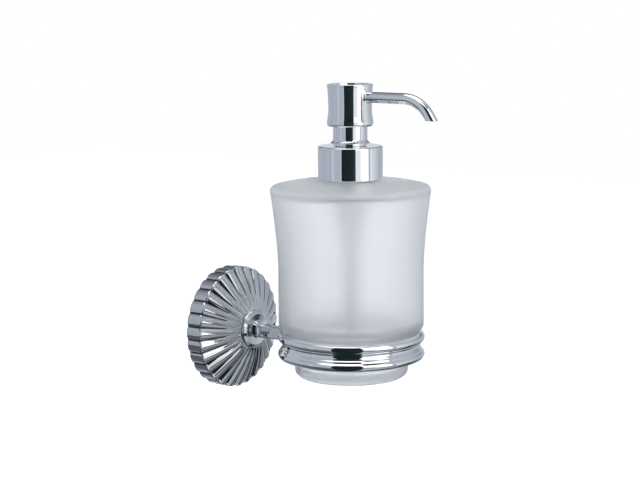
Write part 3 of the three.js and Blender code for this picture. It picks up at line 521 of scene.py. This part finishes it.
def through(points, per_span=8):
    """A Catmull-Rom curve through points: each span is a cubic whose ends run along the neighbours."""
    p = np.array([points[0], *points, points[-1]], dtype=float)
    a, b, c, d = p[:-3, None], p[1:-2, None], p[2:-1, None], p[3:, None]
    t = np.linspace(0, 1, per_span, endpoint=False)[None, :, None]
    curve = 0.5 * (2 * b + (c - a) * t + (2 * a - 5 * b + 4 * c - d) * t ** 2
                   + (3 * b - a - 3 * c + d) * t ** 3)
    return np.vstack([curve.reshape(-1, 2), p[-1:]])


head_side = through([
    (11.1, HEAD_BOTTOM + 0.02), (11.6, 112.5), (11.77, 113.3), (11.72, 114.5), (11.45, 116.1),
    (11.2, 118.0), (11.06, 120.4), (11.06, 122.6), (11.14, 125.2), (11.26, 127.6), (11.4, 129.8),
    (11.54, 131.4), (11.63, 132.2), RIM_START,
])
head_line = np.vstack([
    profile([(10.2, HEAD_BOTTOM), (11.1, HEAD_BOTTOM)]), head_side,
    profile([RIM_START, (11.6, HEAD_TOP, 0.4), (9.75, HEAD_TOP, 0.3), (HEAD_BORE, 132.6, 0.1),
             (HEAD_BORE, 131.4), (HEAD_BORE, HEAD_BOTTOM, 0.1), (10.2, HEAD_BOTTOM)])[1:],
])
head = grid_piece("head_smooth", about_bottle_axis(head_line, 192), "head")
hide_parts("head_shell")

CAP_RADIUS, CAP_UNDER, CAP_TOP, CAP_DISH = 9.45, 131.5, 132.5, (8.3, 132.32, 1.5)
cap_line = profile([
    (0, CAP_UNDER), (CAP_RADIUS, CAP_UNDER, 0.1), (CAP_RADIUS, CAP_TOP, 0.3), CAP_DISH, (0, CAP_TOP),
])
cap = grid_piece("cap_smooth", about_bottle_axis(cap_line, 128), "head")
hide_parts("head_cap")

# %% [markdown]
# ## The spout
# The spout is a bent tube. Its middle line is level, then an arc, then straight, and a level cut at the
# end makes the mouth an ellipse. A curve with a round bevel would end square, so the tube is a grid in
# which each line runs on to the cut by itself. A small rounded bead hides the gap where the tube enters
# the head.

# %% Spout
SPOUT_LEVEL, SPOUT_RADIUS, SPOUT_BORE, SPOUT_START = 126.76, 2.75, 1.9, 3.1
BEND_START, BEND_RADIUS, BEND_ANGLE, MOUTH_LEVEL = 32.95, 17.3, math.radians(56.4), 116.5
BEAD_RADIUS, BEAD_PLACE = 0.42, 11.2   # the bead's section, and how far it is from the bottle's axis


def spout_grid(radius, columns=64):
    """Rows along the spout: level, then turning by the bend's angle, then straight down to the cut."""
    phi = np.linspace(0, 2 * np.pi, columns, endpoint=False)
    level = np.linspace(SPOUT_START, BEND_START, 40)[:, None]
    out = [level + 0 * phi]
    up = [SPOUT_LEVEL + radius * np.sin(phi) + 0 * level]
    turn = np.linspace(0, BEND_ANGLE, 26)[1:, None]
    arm_out = BEND_RADIUS + radius * np.sin(phi)
    out.append(BEND_START + arm_out * np.sin(turn))
    up.append(SPOUT_LEVEL - BEND_RADIUS + arm_out * np.cos(turn))
    last_out, last_up = out[-1][-1], up[-1][-1]
    length = (last_up - MOUTH_LEVEL) / math.sin(BEND_ANGLE)
    share = np.linspace(0, 1, 16)[1:, None]
    out.append(last_out + length * share * math.cos(BEND_ANGLE))
    up.append(last_up - length * share * math.sin(BEND_ANGLE))
    out, up = np.vstack(out), np.vstack(up)
    return np.stack([radius * np.cos(phi) + 0 * out, -REACH - out, up], axis=-1)


outer, bore = spout_grid(SPOUT_RADIUS), spout_grid(SPOUT_BORE)
mouth_edge = outer[-1] * 0.12 + bore[-1] * 0.88   # a row near the bore, so that the cut looks flat
spout_rows = np.concatenate([outer, mouth_edge[None], bore[::-1]])
spout = grid_piece("spout_smooth", spout_rows, "head", close_rows=True)
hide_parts("spout")


def bead_grid(main_radius, bead_radius, distance, steps=64, section=20):
    """A torus about the spout's line: the circle of the bead's radius, carried round the main circle."""
    round_spout = np.linspace(0, 2 * np.pi, steps, endpoint=False)[:, None]
    round_bead = np.linspace(0, 2 * np.pi, section, endpoint=False)
    reach_out = main_radius + bead_radius * np.cos(round_bead)
    out = distance + bead_radius * np.sin(round_bead) + 0 * round_spout
    return np.stack([reach_out * np.cos(round_spout), -REACH - out,
                     SPOUT_LEVEL + reach_out * np.sin(round_spout)], axis=-1)


bead = grid_piece("spout_bead", bead_grid(SPOUT_RADIUS, BEAD_RADIUS, BEAD_PLACE), "head",
                  close_rows=True)

# %% [markdown]
# ## The return spring
# Inside the pump, a spring of steel wire lifts the head again. Its lower end stands on a ledge of the
# housing and its upper end is under the flange of the piston rod, so it gets shorter when the head is
# pressed. It rides with the rod.
# The wire is a tube along a helix, made as a grid like the other pieces. Its end turns lie closer
# together than the others, so that it stands firmly. A Screw modifier has one pitch and can't do that.

# %% Return spring
SPRING_RADIUS, SPRING_WIRE, SPRING_TURNS, END_CLOSING = 4.5, 0.9, 6, 0.6


def coil_grid(low, high, section=12, steps_per_turn=32):
    """A tube along a helix: at share s the angle is 2 pi turns s, and the level runs from low to high.

    The level's share is s - c sin(2 pi s) / 2 pi, which is less steep by the closing c at both ends.
    """
    s = np.linspace(0, 1, SPRING_TURNS * steps_per_turn + 1)[:, None]
    round_wire = np.linspace(0, 2 * np.pi, section, endpoint=False)
    half = SPRING_WIRE / 2
    share = s - END_CLOSING * np.sin(2 * np.pi * s) / (2 * np.pi)
    angle = 2 * np.pi * SPRING_TURNS * s
    radius = SPRING_RADIUS + half * np.cos(round_wire)
    up = low + half + (high - low - 2 * half) * share + half * np.sin(round_wire)
    coil = np.stack([radius * np.cos(angle), radius * np.sin(angle) - REACH, up], axis=-1)
    return capped(coil)


spring_low, spring_high = (corner.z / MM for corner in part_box("return_spring"))
spring = grid_piece("spring_smooth", coil_grid(spring_low, spring_high), "plunger")
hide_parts("return_spring")
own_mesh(spring)

# %% [markdown]
# ## Finishes
# Each finish is a node material. The Principled shader gives the way light comes back, and noise on the
# object's own coordinates gives the small unevenness that the eye expects. The coordinates are in
# metres, so a noise scale of 1000 has features of about a millimetre. A picture could be wrapped round
# the piece instead, but it would need a layout for each one, and noise fits every shape.

# %% Material helpers
def new_finish(name):
    """A material with an empty Principled shader. Returns it with its node tree and the shader."""
    material = bpy.data.materials.new(name)
    material.use_nodes = True
    tree = material.node_tree
    return material, tree, tree.nodes["Principled BSDF"]


def noise(tree, scale, detail=3.0, stretch=(1, 1, 1)):
    """Noise on Object coordinates, which may be stretched along an axis. Returns its output from 0 to 1."""
    place = tree.nodes.new("ShaderNodeTexCoord")
    fit = tree.nodes.new("ShaderNodeMapping")
    fit.inputs["Scale"].default_value = stretch
    grain = tree.nodes.new("ShaderNodeTexNoise")
    grain.inputs["Scale"].default_value = scale
    grain.inputs["Detail"].default_value = detail
    tree.links.new(place.outputs["Object"], fit.inputs["Vector"])
    tree.links.new(fit.outputs["Vector"], grain.inputs["Vector"])
    return grain.outputs["Fac"]


def spread(tree, value, low, high):
    """Carries a value from 0..1 to low..high."""
    fit = tree.nodes.new("ShaderNodeMapRange")
    fit.inputs["To Min"].default_value, fit.inputs["To Max"].default_value = low, high
    tree.links.new(value, fit.inputs["Value"])
    return fit.outputs["Result"]


def shade_between(tree, value, first, second):
    """Mixes two colours by a value. Each is three numbers, or the output of a node."""
    mix = tree.nodes.new("ShaderNodeMix")
    mix.data_type = "RGBA"
    tree.links.new(value, mix.inputs["Factor"])
    for socket, colour in (("A", first), ("B", second)):
        if isinstance(colour, tuple):
            mix.inputs[socket].default_value = (*colour, 1)
        else:
            tree.links.new(colour, mix.inputs[socket])
    return mix.outputs["Result"]


def relief(tree, shader, height, distance, strength=1.0):
    """Bumps the shader's normal by a height in the given distance, in metres."""
    bump = tree.nodes.new("ShaderNodeBump")
    bump.inputs["Distance"].default_value = distance
    bump.inputs["Strength"].default_value = strength
    tree.links.new(height, bump.inputs["Height"])
    tree.links.new(bump.outputs["Normal"], shader.inputs["Normal"])


# %% [markdown]
# Chrome is a mirror with a slightly blue tint. What it shows is the studio, so its finish is only a low
# roughness. Polishing leaves waves of about a hundredth of a millimetre, and handling leaves faint
# films, so the roughness wanders a little and the surface has a very shallow relief. The pieces at the
# wall get a darker tint, which is painted shade for the dimmer reflections there. Painted shade also
# goes into the bottoms of the rosette's grooves, as a dark line mixed in where the attribute "groove"
# is high. Pieces without it have no such line.

# %% Chrome
def chrome_finish(name, tint, low, high, wave):
    """Metal with roughness from low to high, and waves of the given height in metres."""
    material, tree, shader = new_finish(name)
    shader.inputs["Metallic"].default_value = 1.0
    film = noise(tree, 90, 4)
    tree.links.new(spread(tree, film, low, high), shader.inputs["Roughness"])
    darker = tuple(0.97 * part for part in tint)
    tree.links.new(shade_between(tree, film, tint, darker), shader.inputs["Base Color"])
    relief(tree, shader, noise(tree, 220, 1), wave)
    return material


chrome = chrome_finish("polished_chrome", (0.93, 0.95, 0.97), 0.02, 0.06, 0.000012)
# a darker copy of the chrome for the pieces at the wall: painted shade
shaded_wall_chrome = chrome_finish("rosette_chrome_painted_shade", (0.75, 0.77, 0.79), 0.03, 0.07, 0.000012)


def paint_groove_shade(material, dark, first, full):
    """Paints shade into the finish: mixes a dark colour in where the groove's share rises from first to
    full.
    """
    tree = material.node_tree
    base = tree.nodes["Principled BSDF"].inputs["Base Color"]
    depth = tree.nodes.new("ShaderNodeAttribute")
    depth.attribute_name = "groove"
    line = tree.nodes.new("ShaderNodeMapRange")
    line.inputs["From Min"].default_value, line.inputs["From Max"].default_value = first, full
    tree.links.new(depth.outputs["Fac"], line.inputs["Value"])
    unshaded = base.links[0].from_socket
    tree.links.new(shade_between(tree, line.outputs["Result"], unshaded, dark), base)


# painted shade: a dark line at the bottoms of the rosette's grooves
paint_groove_shade(shaded_wall_chrome, (0.03, 0.034, 0.038), 0.78, 0.94)

# %% [markdown]
# Frosted glass is clear glass with a surface that was etched with acid. Light goes through, but each
# spot of the surface sends it a different way, and part of it comes straight back. So the shader is
# mostly transmission with a high roughness, and a little of it is plain white scatter. A rough coat
# stands for the etched skin, and a fine grain makes it visible in close views. The glass also takes up
# some light along the way, more of the red than of the blue, so that its thick parts are darker.
# Subsurface scattering would look like wax, and the tube inside would not show.

# %% Frosted glass
frosted, tree, shader = new_finish("frosted_glass")
shader.inputs["Base Color"].default_value = (0.985, 0.988, 0.993, 1)
shader.inputs["Transmission Weight"].default_value = 0.85
shader.inputs["IOR"].default_value = 1.4
shader.inputs["Coat Weight"].default_value = 1.0
shader.inputs["Coat IOR"].default_value = 1.7
shader.inputs["Coat Roughness"].default_value = 0.5
etching = noise(tree, 2500, 2)
tree.links.new(spread(tree, etching, 0.36, 0.46), shader.inputs["Roughness"])
relief(tree, shader, etching, 0.00002, 0.4)
absorb = tree.nodes.new("ShaderNodeVolumeAbsorption")
absorb.inputs["Color"].default_value = (0.85, 0.88, 0.92, 1)
absorb.inputs["Density"].default_value = 36
tree.links.new(absorb.outputs["Volume"], tree.nodes["Material Output"].inputs["Volume"])

# %% [markdown]
# The hidden pieces are plain: moulded plastic with a faint orange-peel surface, soft rubber, turned
# steel with fine rings, and die-cast zinc with a grainy skin. The pump's housing and its tube show as a
# soft shade through the glass, and most others only when the collar is unscrewed, the bottle is lifted
# out or the holder is off the wall. Each kind of stuff needs only one recipe, so it is a function, and
# a piece differs by its numbers.

# %% Plastic, rubber, steel and zinc
def moulded(name, dark, light, roughness, grain_scale, height):
    """A plastic or rubber: a colour that wanders a little, and a shallow moulded grain."""
    material, tree, shader = new_finish(name)
    grain = noise(tree, grain_scale, 2)
    tree.links.new(shade_between(tree, noise(tree, 60, 2), dark, light), shader.inputs["Base Color"])
    tree.links.new(spread(tree, grain, roughness - 0.06, roughness + 0.06), shader.inputs["Roughness"])
    relief(tree, shader, grain, height)
    return material


pump_plastic = moulded("pump_plastic", (0.80, 0.80, 0.77), (0.86, 0.86, 0.83), 0.42, 900, 0.00002)
seal_rubber = moulded("seal_rubber", (0.62, 0.64, 0.65), (0.70, 0.72, 0.73), 0.62, 1600, 0.00003)
housing_plastic = moulded("housing_plastic", (0.78, 0.79, 0.80), (0.82, 0.83, 0.84), 0.42, 900, 0.00002)
tube_plastic = moulded("tube_plastic", (0.56, 0.59, 0.61), (0.62, 0.65, 0.67), 0.28, 500, 0.00001)


def turned_metal(name, dark, light, roughness, rings, height, stretch):
    """Bare metal with its marks as noise. A stretch along an axis packs them there into fine rings."""
    material, tree, shader = new_finish(name)
    shader.inputs["Metallic"].default_value = 1.0
    marks = noise(tree, rings, 3, stretch)
    tree.links.new(shade_between(tree, marks, dark, light), shader.inputs["Base Color"])
    tree.links.new(spread(tree, marks, roughness - 0.08, roughness + 0.08), shader.inputs["Roughness"])
    relief(tree, shader, marks, height)
    return material


steel = turned_metal("plain_steel", (0.50, 0.51, 0.53), (0.64, 0.65, 0.67), 0.3, 300, 0.00002, (1, 6, 1))
zinc = turned_metal("cast_zinc", (0.40, 0.41, 0.43), (0.52, 0.53, 0.55), 0.5, 800, 0.00006, (1, 1, 1))

# %% Every piece gets its finish
finishes = {
    "chrome": chrome, "zinc": zinc, "steel": steel, "frosted_glass": frosted,
    "pump_plastic": pump_plastic, "clear_plastic": tube_plastic, "seal_rubber": seal_rubber,
}
slots = {entry["node"]: entry["material_slot"] for entry in frame["record"]["subparts"]}
for name, node in frame["nodes"].items():
    node.data.materials.clear()
    node.data.materials.append(housing_plastic if name == "pump_housing" else finishes[slots[name]])
smooth_pieces = {
    frosted: [bottle, neck_thread],
    chrome: [ring, collar, sleeve, head, cap, spout, bead],
    shaded_wall_chrome: [rosette, flange, arm],
    steel: [spring],
}
for finish, pieces in smooth_pieces.items():
    for piece in pieces:
        piece.data.materials.append(finish)
print("finishes:", len(bpy.data.materials))

# %% [markdown]
# ## Studio
# Metal and glass look like what stands around them. In a product studio, panels stand round the object:
# a dark one at the camera, white ones right of it, and grey cloth elsewhere. Here the panels are rows
# of colours in the world. A row goes round the object, in degrees from the camera to its right, and
# each row has its own range of heights. An upright wall shows only the middle row. The beads of the
# ring and the ribs of the rosette also show the rows above and under it. Real panels could be built as
# meshes, but rows of plain colours are easier to read and to change. Thin darker stripes are the joins
# between two panels.

# %% Colours of the studio
def from_screen(red, green, blue):
    """Turns a colour of 0 to 255 into the linear values that shaders use, by the sRGB curve."""
    value = np.array([red, green, blue]) / 255
    return tuple(np.where(value <= 0.04045, value / 12.92, ((value + 0.055) / 1.055) ** 2.4))


WHITE = (1.5, 1.5, 1.5)            # a lit panel, brighter than white paper
GREY, LIGHT_GREY, DIM = from_screen(172, 179, 190), from_screen(214, 218, 225), from_screen(96, 101, 108)
BLACK, JOIN = from_screen(26, 35, 36), from_screen(165, 170, 175)

# %% Rows of panels
MIDDLE_ROW = [                     # degrees from the camera to its right, and the colour there
    (-180, LIGHT_GREY), (-168, LIGHT_GREY), (-154, GREY), (-110, GREY), (-105, from_screen(158, 166, 177)),
    (-100, GREY), (-76, GREY), (-73, from_screen(155, 160, 172)), (-69, from_screen(192, 198, 208)),
    (-62, from_screen(190, 196, 206)), (-58, GREY), (-36, from_screen(172, 180, 189)),
    (-32, from_screen(200, 206, 210)), (-31, BLACK), (0, from_screen(30, 41, 42)),
    (17, from_screen(40, 56, 57)), (20, from_screen(236, 238, 242)), (34, from_screen(230, 232, 236)),
    (44, WHITE), (65, WHITE), (68, JOIN), (72, JOIN), (75, from_screen(232, 235, 239)),
    (86, from_screen(216, 219, 225)), (98, from_screen(204, 208, 214)), (120, GREY), (154, GREY),
    (168, LIGHT_GREY), (180, LIGHT_GREY),
]
HIGH_ROW = [
    (-180, DIM), (-152, DIM), (-138, GREY), (-32, from_screen(180, 186, 194)), (-31, BLACK), (17, BLACK),
    (20, WHITE), (66, WHITE), (68, JOIN), (70, JOIN), (74, from_screen(194, 199, 206)),
    (98, from_screen(186, 191, 199)), (126, from_screen(172, 178, 187)), (150, from_screen(140, 145, 153)),
    (180, DIM),
]
CROWN_ROW = [
    (-180, DIM), (-145, from_screen(128, 133, 141)), (-100, from_screen(160, 166, 175)),
    (-33, from_screen(180, 186, 194)), (-31, BLACK), (17, BLACK), (20, WHITE), (64, WHITE),
    (80, from_screen(180, 185, 193)), (134, from_screen(165, 170, 178)), (180, DIM),
]
CEILING_ROW = [
    (-180, WHITE), (30, WHITE), (38, from_screen(40, 44, 48)), (84, from_screen(48, 52, 57)),
    (96, LIGHT_GREY), (130, WHITE), (180, WHITE),
]
FLOOR_EDGE_ROW = [
    (-180, from_screen(150, 155, 163)), (-140, from_screen(120, 125, 132)),
    (-112, from_screen(85, 90, 96)), (-60, from_screen(95, 100, 106)), (-33, from_screen(112, 117, 124)),
    (-31, BLACK), (19, BLACK), (21, from_screen(40, 43, 46)), (64, from_screen(46, 50, 54)),
    (72, from_screen(150, 155, 162)), (100, from_screen(150, 155, 162)), (106, from_screen(54, 58, 63)),
    (125, from_screen(100, 105, 112)), (180, from_screen(150, 155, 163)),
]
LOW_ROW = [
    (-180, from_screen(168, 172, 180)), (-140, from_screen(164, 168, 176)),
    (-112, from_screen(100, 105, 112)), (-60, from_screen(88, 93, 100)), (-33, from_screen(100, 105, 112)),
    (-31, BLACK), (19, BLACK), (21, from_screen(195, 199, 205)), (50, from_screen(180, 185, 192)),
    (76, from_screen(150, 155, 162)), (98, from_screen(140, 145, 153)), (102, from_screen(34, 37, 41)),
    (124, from_screen(34, 37, 41)), (130, from_screen(135, 140, 148)), (180, from_screen(140, 145, 153)),
]
DEEP_ROW = [
    (-180, from_screen(90, 95, 102)), (-120, from_screen(64, 68, 74)), (-33, from_screen(48, 52, 57)),
    (-31, BLACK), (19, BLACK), (24, from_screen(150, 154, 160)), (76, from_screen(140, 145, 152)),
    (90, from_screen(52, 56, 62)), (130, from_screen(60, 64, 70)), (150, from_screen(100, 105, 112)),
    (180, from_screen(90, 95, 102)),
]
ROWS_UPWARDS = [                   # each row takes over from the last one between two heights in degrees
    (-66, -50, LOW_ROW), (-34, -28, FLOOR_EDGE_ROW), (-20, -15, MIDDLE_ROW), (8, 16, HIGH_ROW),
    (38, 43, CROWN_ROW), (56, 62, CEILING_ROW),
]

# %% World helpers
world = bpy.data.worlds.new("studio")
bpy.context.scene.world = world
world.use_nodes = True
sky = world.node_tree
sky.nodes.clear()
direction = sky.nodes.new("ShaderNodeTexCoord").outputs["Generated"]


def component(axis):
    """How far the direction of a ray points along an axis."""
    dot = sky.nodes.new("ShaderNodeVectorMath")
    dot.operation = "DOT_PRODUCT"
    dot.inputs[1].default_value = tuple(axis)
    sky.links.new(direction, dot.inputs[0])
    return dot.outputs["Value"]


def share_of_turn():
    """The angle round the object from 0 to 1, by the arc tangent of two parts of a ray's direction.

    They are the parts to the right and towards the camera. At 0.5 the ray points towards the camera.
    """
    angle = sky.nodes.new("ShaderNodeMath")
    angle.operation = "ARCTAN2"
    sky.links.new(component(side), angle.inputs[0])
    sky.links.new(component(-ahead), angle.inputs[1])
    share = sky.nodes.new("ShaderNodeMapRange")
    share.inputs["From Min"].default_value, share.inputs["From Max"].default_value = -math.pi, math.pi
    sky.links.new(angle.outputs["Value"], share.inputs["Value"])
    return share.outputs["Result"]


round_share, height = share_of_turn(), component(upward)


def panels(stops):
    """A colour ramp round the object, from (degrees, colour) stops in order."""
    ramp = sky.nodes.new("ShaderNodeValToRGB")
    elements = ramp.color_ramp.elements
    while len(elements) < len(stops):
        elements.new(0.5)
    for element, (degrees, colour) in zip(elements, stops):
        element.position, element.color = (degrees + 180) / 360, (*colour, 1)
    sky.links.new(round_share, ramp.inputs["Fac"])
    return ramp.outputs["Color"]


def above(low, high):
    """Nought under a height in degrees and one over the next, and in between on the sine's scale."""
    rise = sky.nodes.new("ShaderNodeMapRange")
    rise.inputs["From Min"].default_value = math.sin(math.radians(low))
    rise.inputs["From Max"].default_value = math.sin(math.radians(high))
    sky.links.new(height, rise.inputs["Value"])
    return rise.outputs["Result"]


# %% [markdown]
# A world can answer each kind of ray in its own way. Reflections see the rows of panels. Light that
# comes through the glass sees a white backdrop behind the object and dark cloth at its sides and in
# front, which gives the frosted body its soft shades. The camera sees plain white, and all other rays
# an even pale grey.

# %% World
CLOTH_ROW = [
    (-180, from_screen(255, 255, 255)), (-142, from_screen(252, 253, 255)),
    (-103, from_screen(106, 114, 126)), (0, from_screen(90, 96, 106)), (103, from_screen(106, 114, 126)),
    (142, from_screen(252, 253, 255)), (180, from_screen(255, 255, 255)),
]
EVEN_LIGHT = from_screen(214, 219, 227)

studio = panels(DEEP_ROW)
for low, high, row in ROWS_UPWARDS:
    studio = shade_between(sky, above(low, high), studio, panels(row))


def backdrop(colour):
    """A background of one colour, or of the colour that a node gives."""
    light = sky.nodes.new("ShaderNodeBackground")
    if isinstance(colour, tuple):
        light.inputs["Color"].default_value = (*colour, 1)
    else:
        sky.links.new(colour, light.inputs["Color"])
    return light.outputs["Background"]


seen_by = {                        # a later kind wins, as a ray through rough glass counts as glossy too
    "Is Glossy Ray": backdrop(studio),
    "Is Transmission Ray": backdrop(panels(CLOTH_ROW)),
    "Is Camera Ray": backdrop((1, 1, 1)),
}
rays = sky.nodes.new("ShaderNodeLightPath")
seen_light = backdrop(EVEN_LIGHT)
for ray, light in seen_by.items():
    choice = sky.nodes.new("ShaderNodeMixShader")
    sky.links.new(rays.outputs[ray], choice.inputs["Fac"])
    sky.links.new(seen_light, choice.inputs[1])
    sky.links.new(light, choice.inputs[2])
    seen_light = choice.outputs["Shader"]
sky.links.new(seen_light, sky.nodes.new("ShaderNodeOutputWorld").inputs["Surface"])
print("rows of panels:", 1 + len(ROWS_UPWARDS))

# %% [markdown]
# ## Floor and lamps
# The object hangs on a wall, so the pale floor lies well below it and only catches a soft shadow. It
# glows a little where the camera or the glass sees it, so that it looks as white as the background, but
# it sheds no light of its own on the object. Reflections don't see it, because the lower rows of panels
# stand there for them. Large lamps give soft light: the strongest is above, two stand at the sides, and
# a weak one behind brightens the far wall of the glass. A sun lamp would leave hard shadows, which a
# studio doesn't have.

# %% Floor
FLOOR_DEPTH, FLOOR_HALF, FLOOR_GLOW = 0.3, 3.0, 0.5   # in metres, and a strength
floor_mesh = bpy.data.meshes.new("floor")
floor_corners = FLOOR_HALF * np.array([(-1, -1), (1, -1), (1, 1), (-1, 1)])
floor_points = np.hstack([floor_corners, np.full((4, 1), -FLOOR_DEPTH)])
floor_mesh.from_pydata(floor_points, [], [(0, 1, 2, 3)])
floor = bpy.data.objects.new("floor", floor_mesh)
bpy.context.collection.objects.link(floor)
floor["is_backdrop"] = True
floor_finish, tree, shader = new_finish("pale_floor")
shader.inputs["Base Color"].default_value = (0.82, 0.82, 0.83, 1)
shader.inputs["Roughness"].default_value = 0.8
floor_rays = tree.nodes.new("ShaderNodeLightPath")
seen = floor_rays.outputs["Is Camera Ray"]
for kind in ("Is Glossy Ray", "Is Transmission Ray"):
    either = tree.nodes.new("ShaderNodeMath")
    either.operation = "MAXIMUM"
    tree.links.new(seen, either.inputs[0])
    tree.links.new(floor_rays.outputs[kind], either.inputs[1])
    seen = either.outputs["Value"]
tree.links.new(spread(tree, seen, 0.0, FLOOR_GLOW), shader.inputs["Emission Strength"])
shader.inputs["Emission Color"].default_value = (1, 1, 1, 1)
floor_mesh.materials.append(floor_finish)
floor.visible_glossy = False


# %% Lamps
def soft_lamp(name, at, power, size):
    """A square lamp, its place and size in metres, that points at the bottle and has no reflection."""
    data = bpy.data.lights.new(name, "AREA")
    data.energy, data.size = power, size
    lamp = bpy.data.objects.new(name, data)
    lamp.location = at
    aim = Vector((0, -REACH * MM, 0.04)) - Vector(at)
    lamp.rotation_euler = aim.to_track_quat("-Z", "Y").to_euler()
    lamp.visible_glossy = False
    bpy.context.collection.objects.link(lamp)


soft_lamp("lamp_above", (-0.3, -0.6, 1.2), 12.0, 0.9)
soft_lamp("lamp_right", (1.0, -0.9, 0.3), 2.0, 0.7)
soft_lamp("lamp_left", (-1.1, 0.1, 0.2), 2.3, 0.7)
soft_lamp("lamp_behind", (0.55, 0.35, 0.25), 0.5, 0.6)
print("lamps:", len(bpy.data.lights))

bpy.context.scene.view_settings.view_transform = "Standard"   # colours as they are, with no film curve

low, high = (list(corner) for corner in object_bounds())
print("visual box in mm:", [round(1000 * value, 1) for value in low + high])
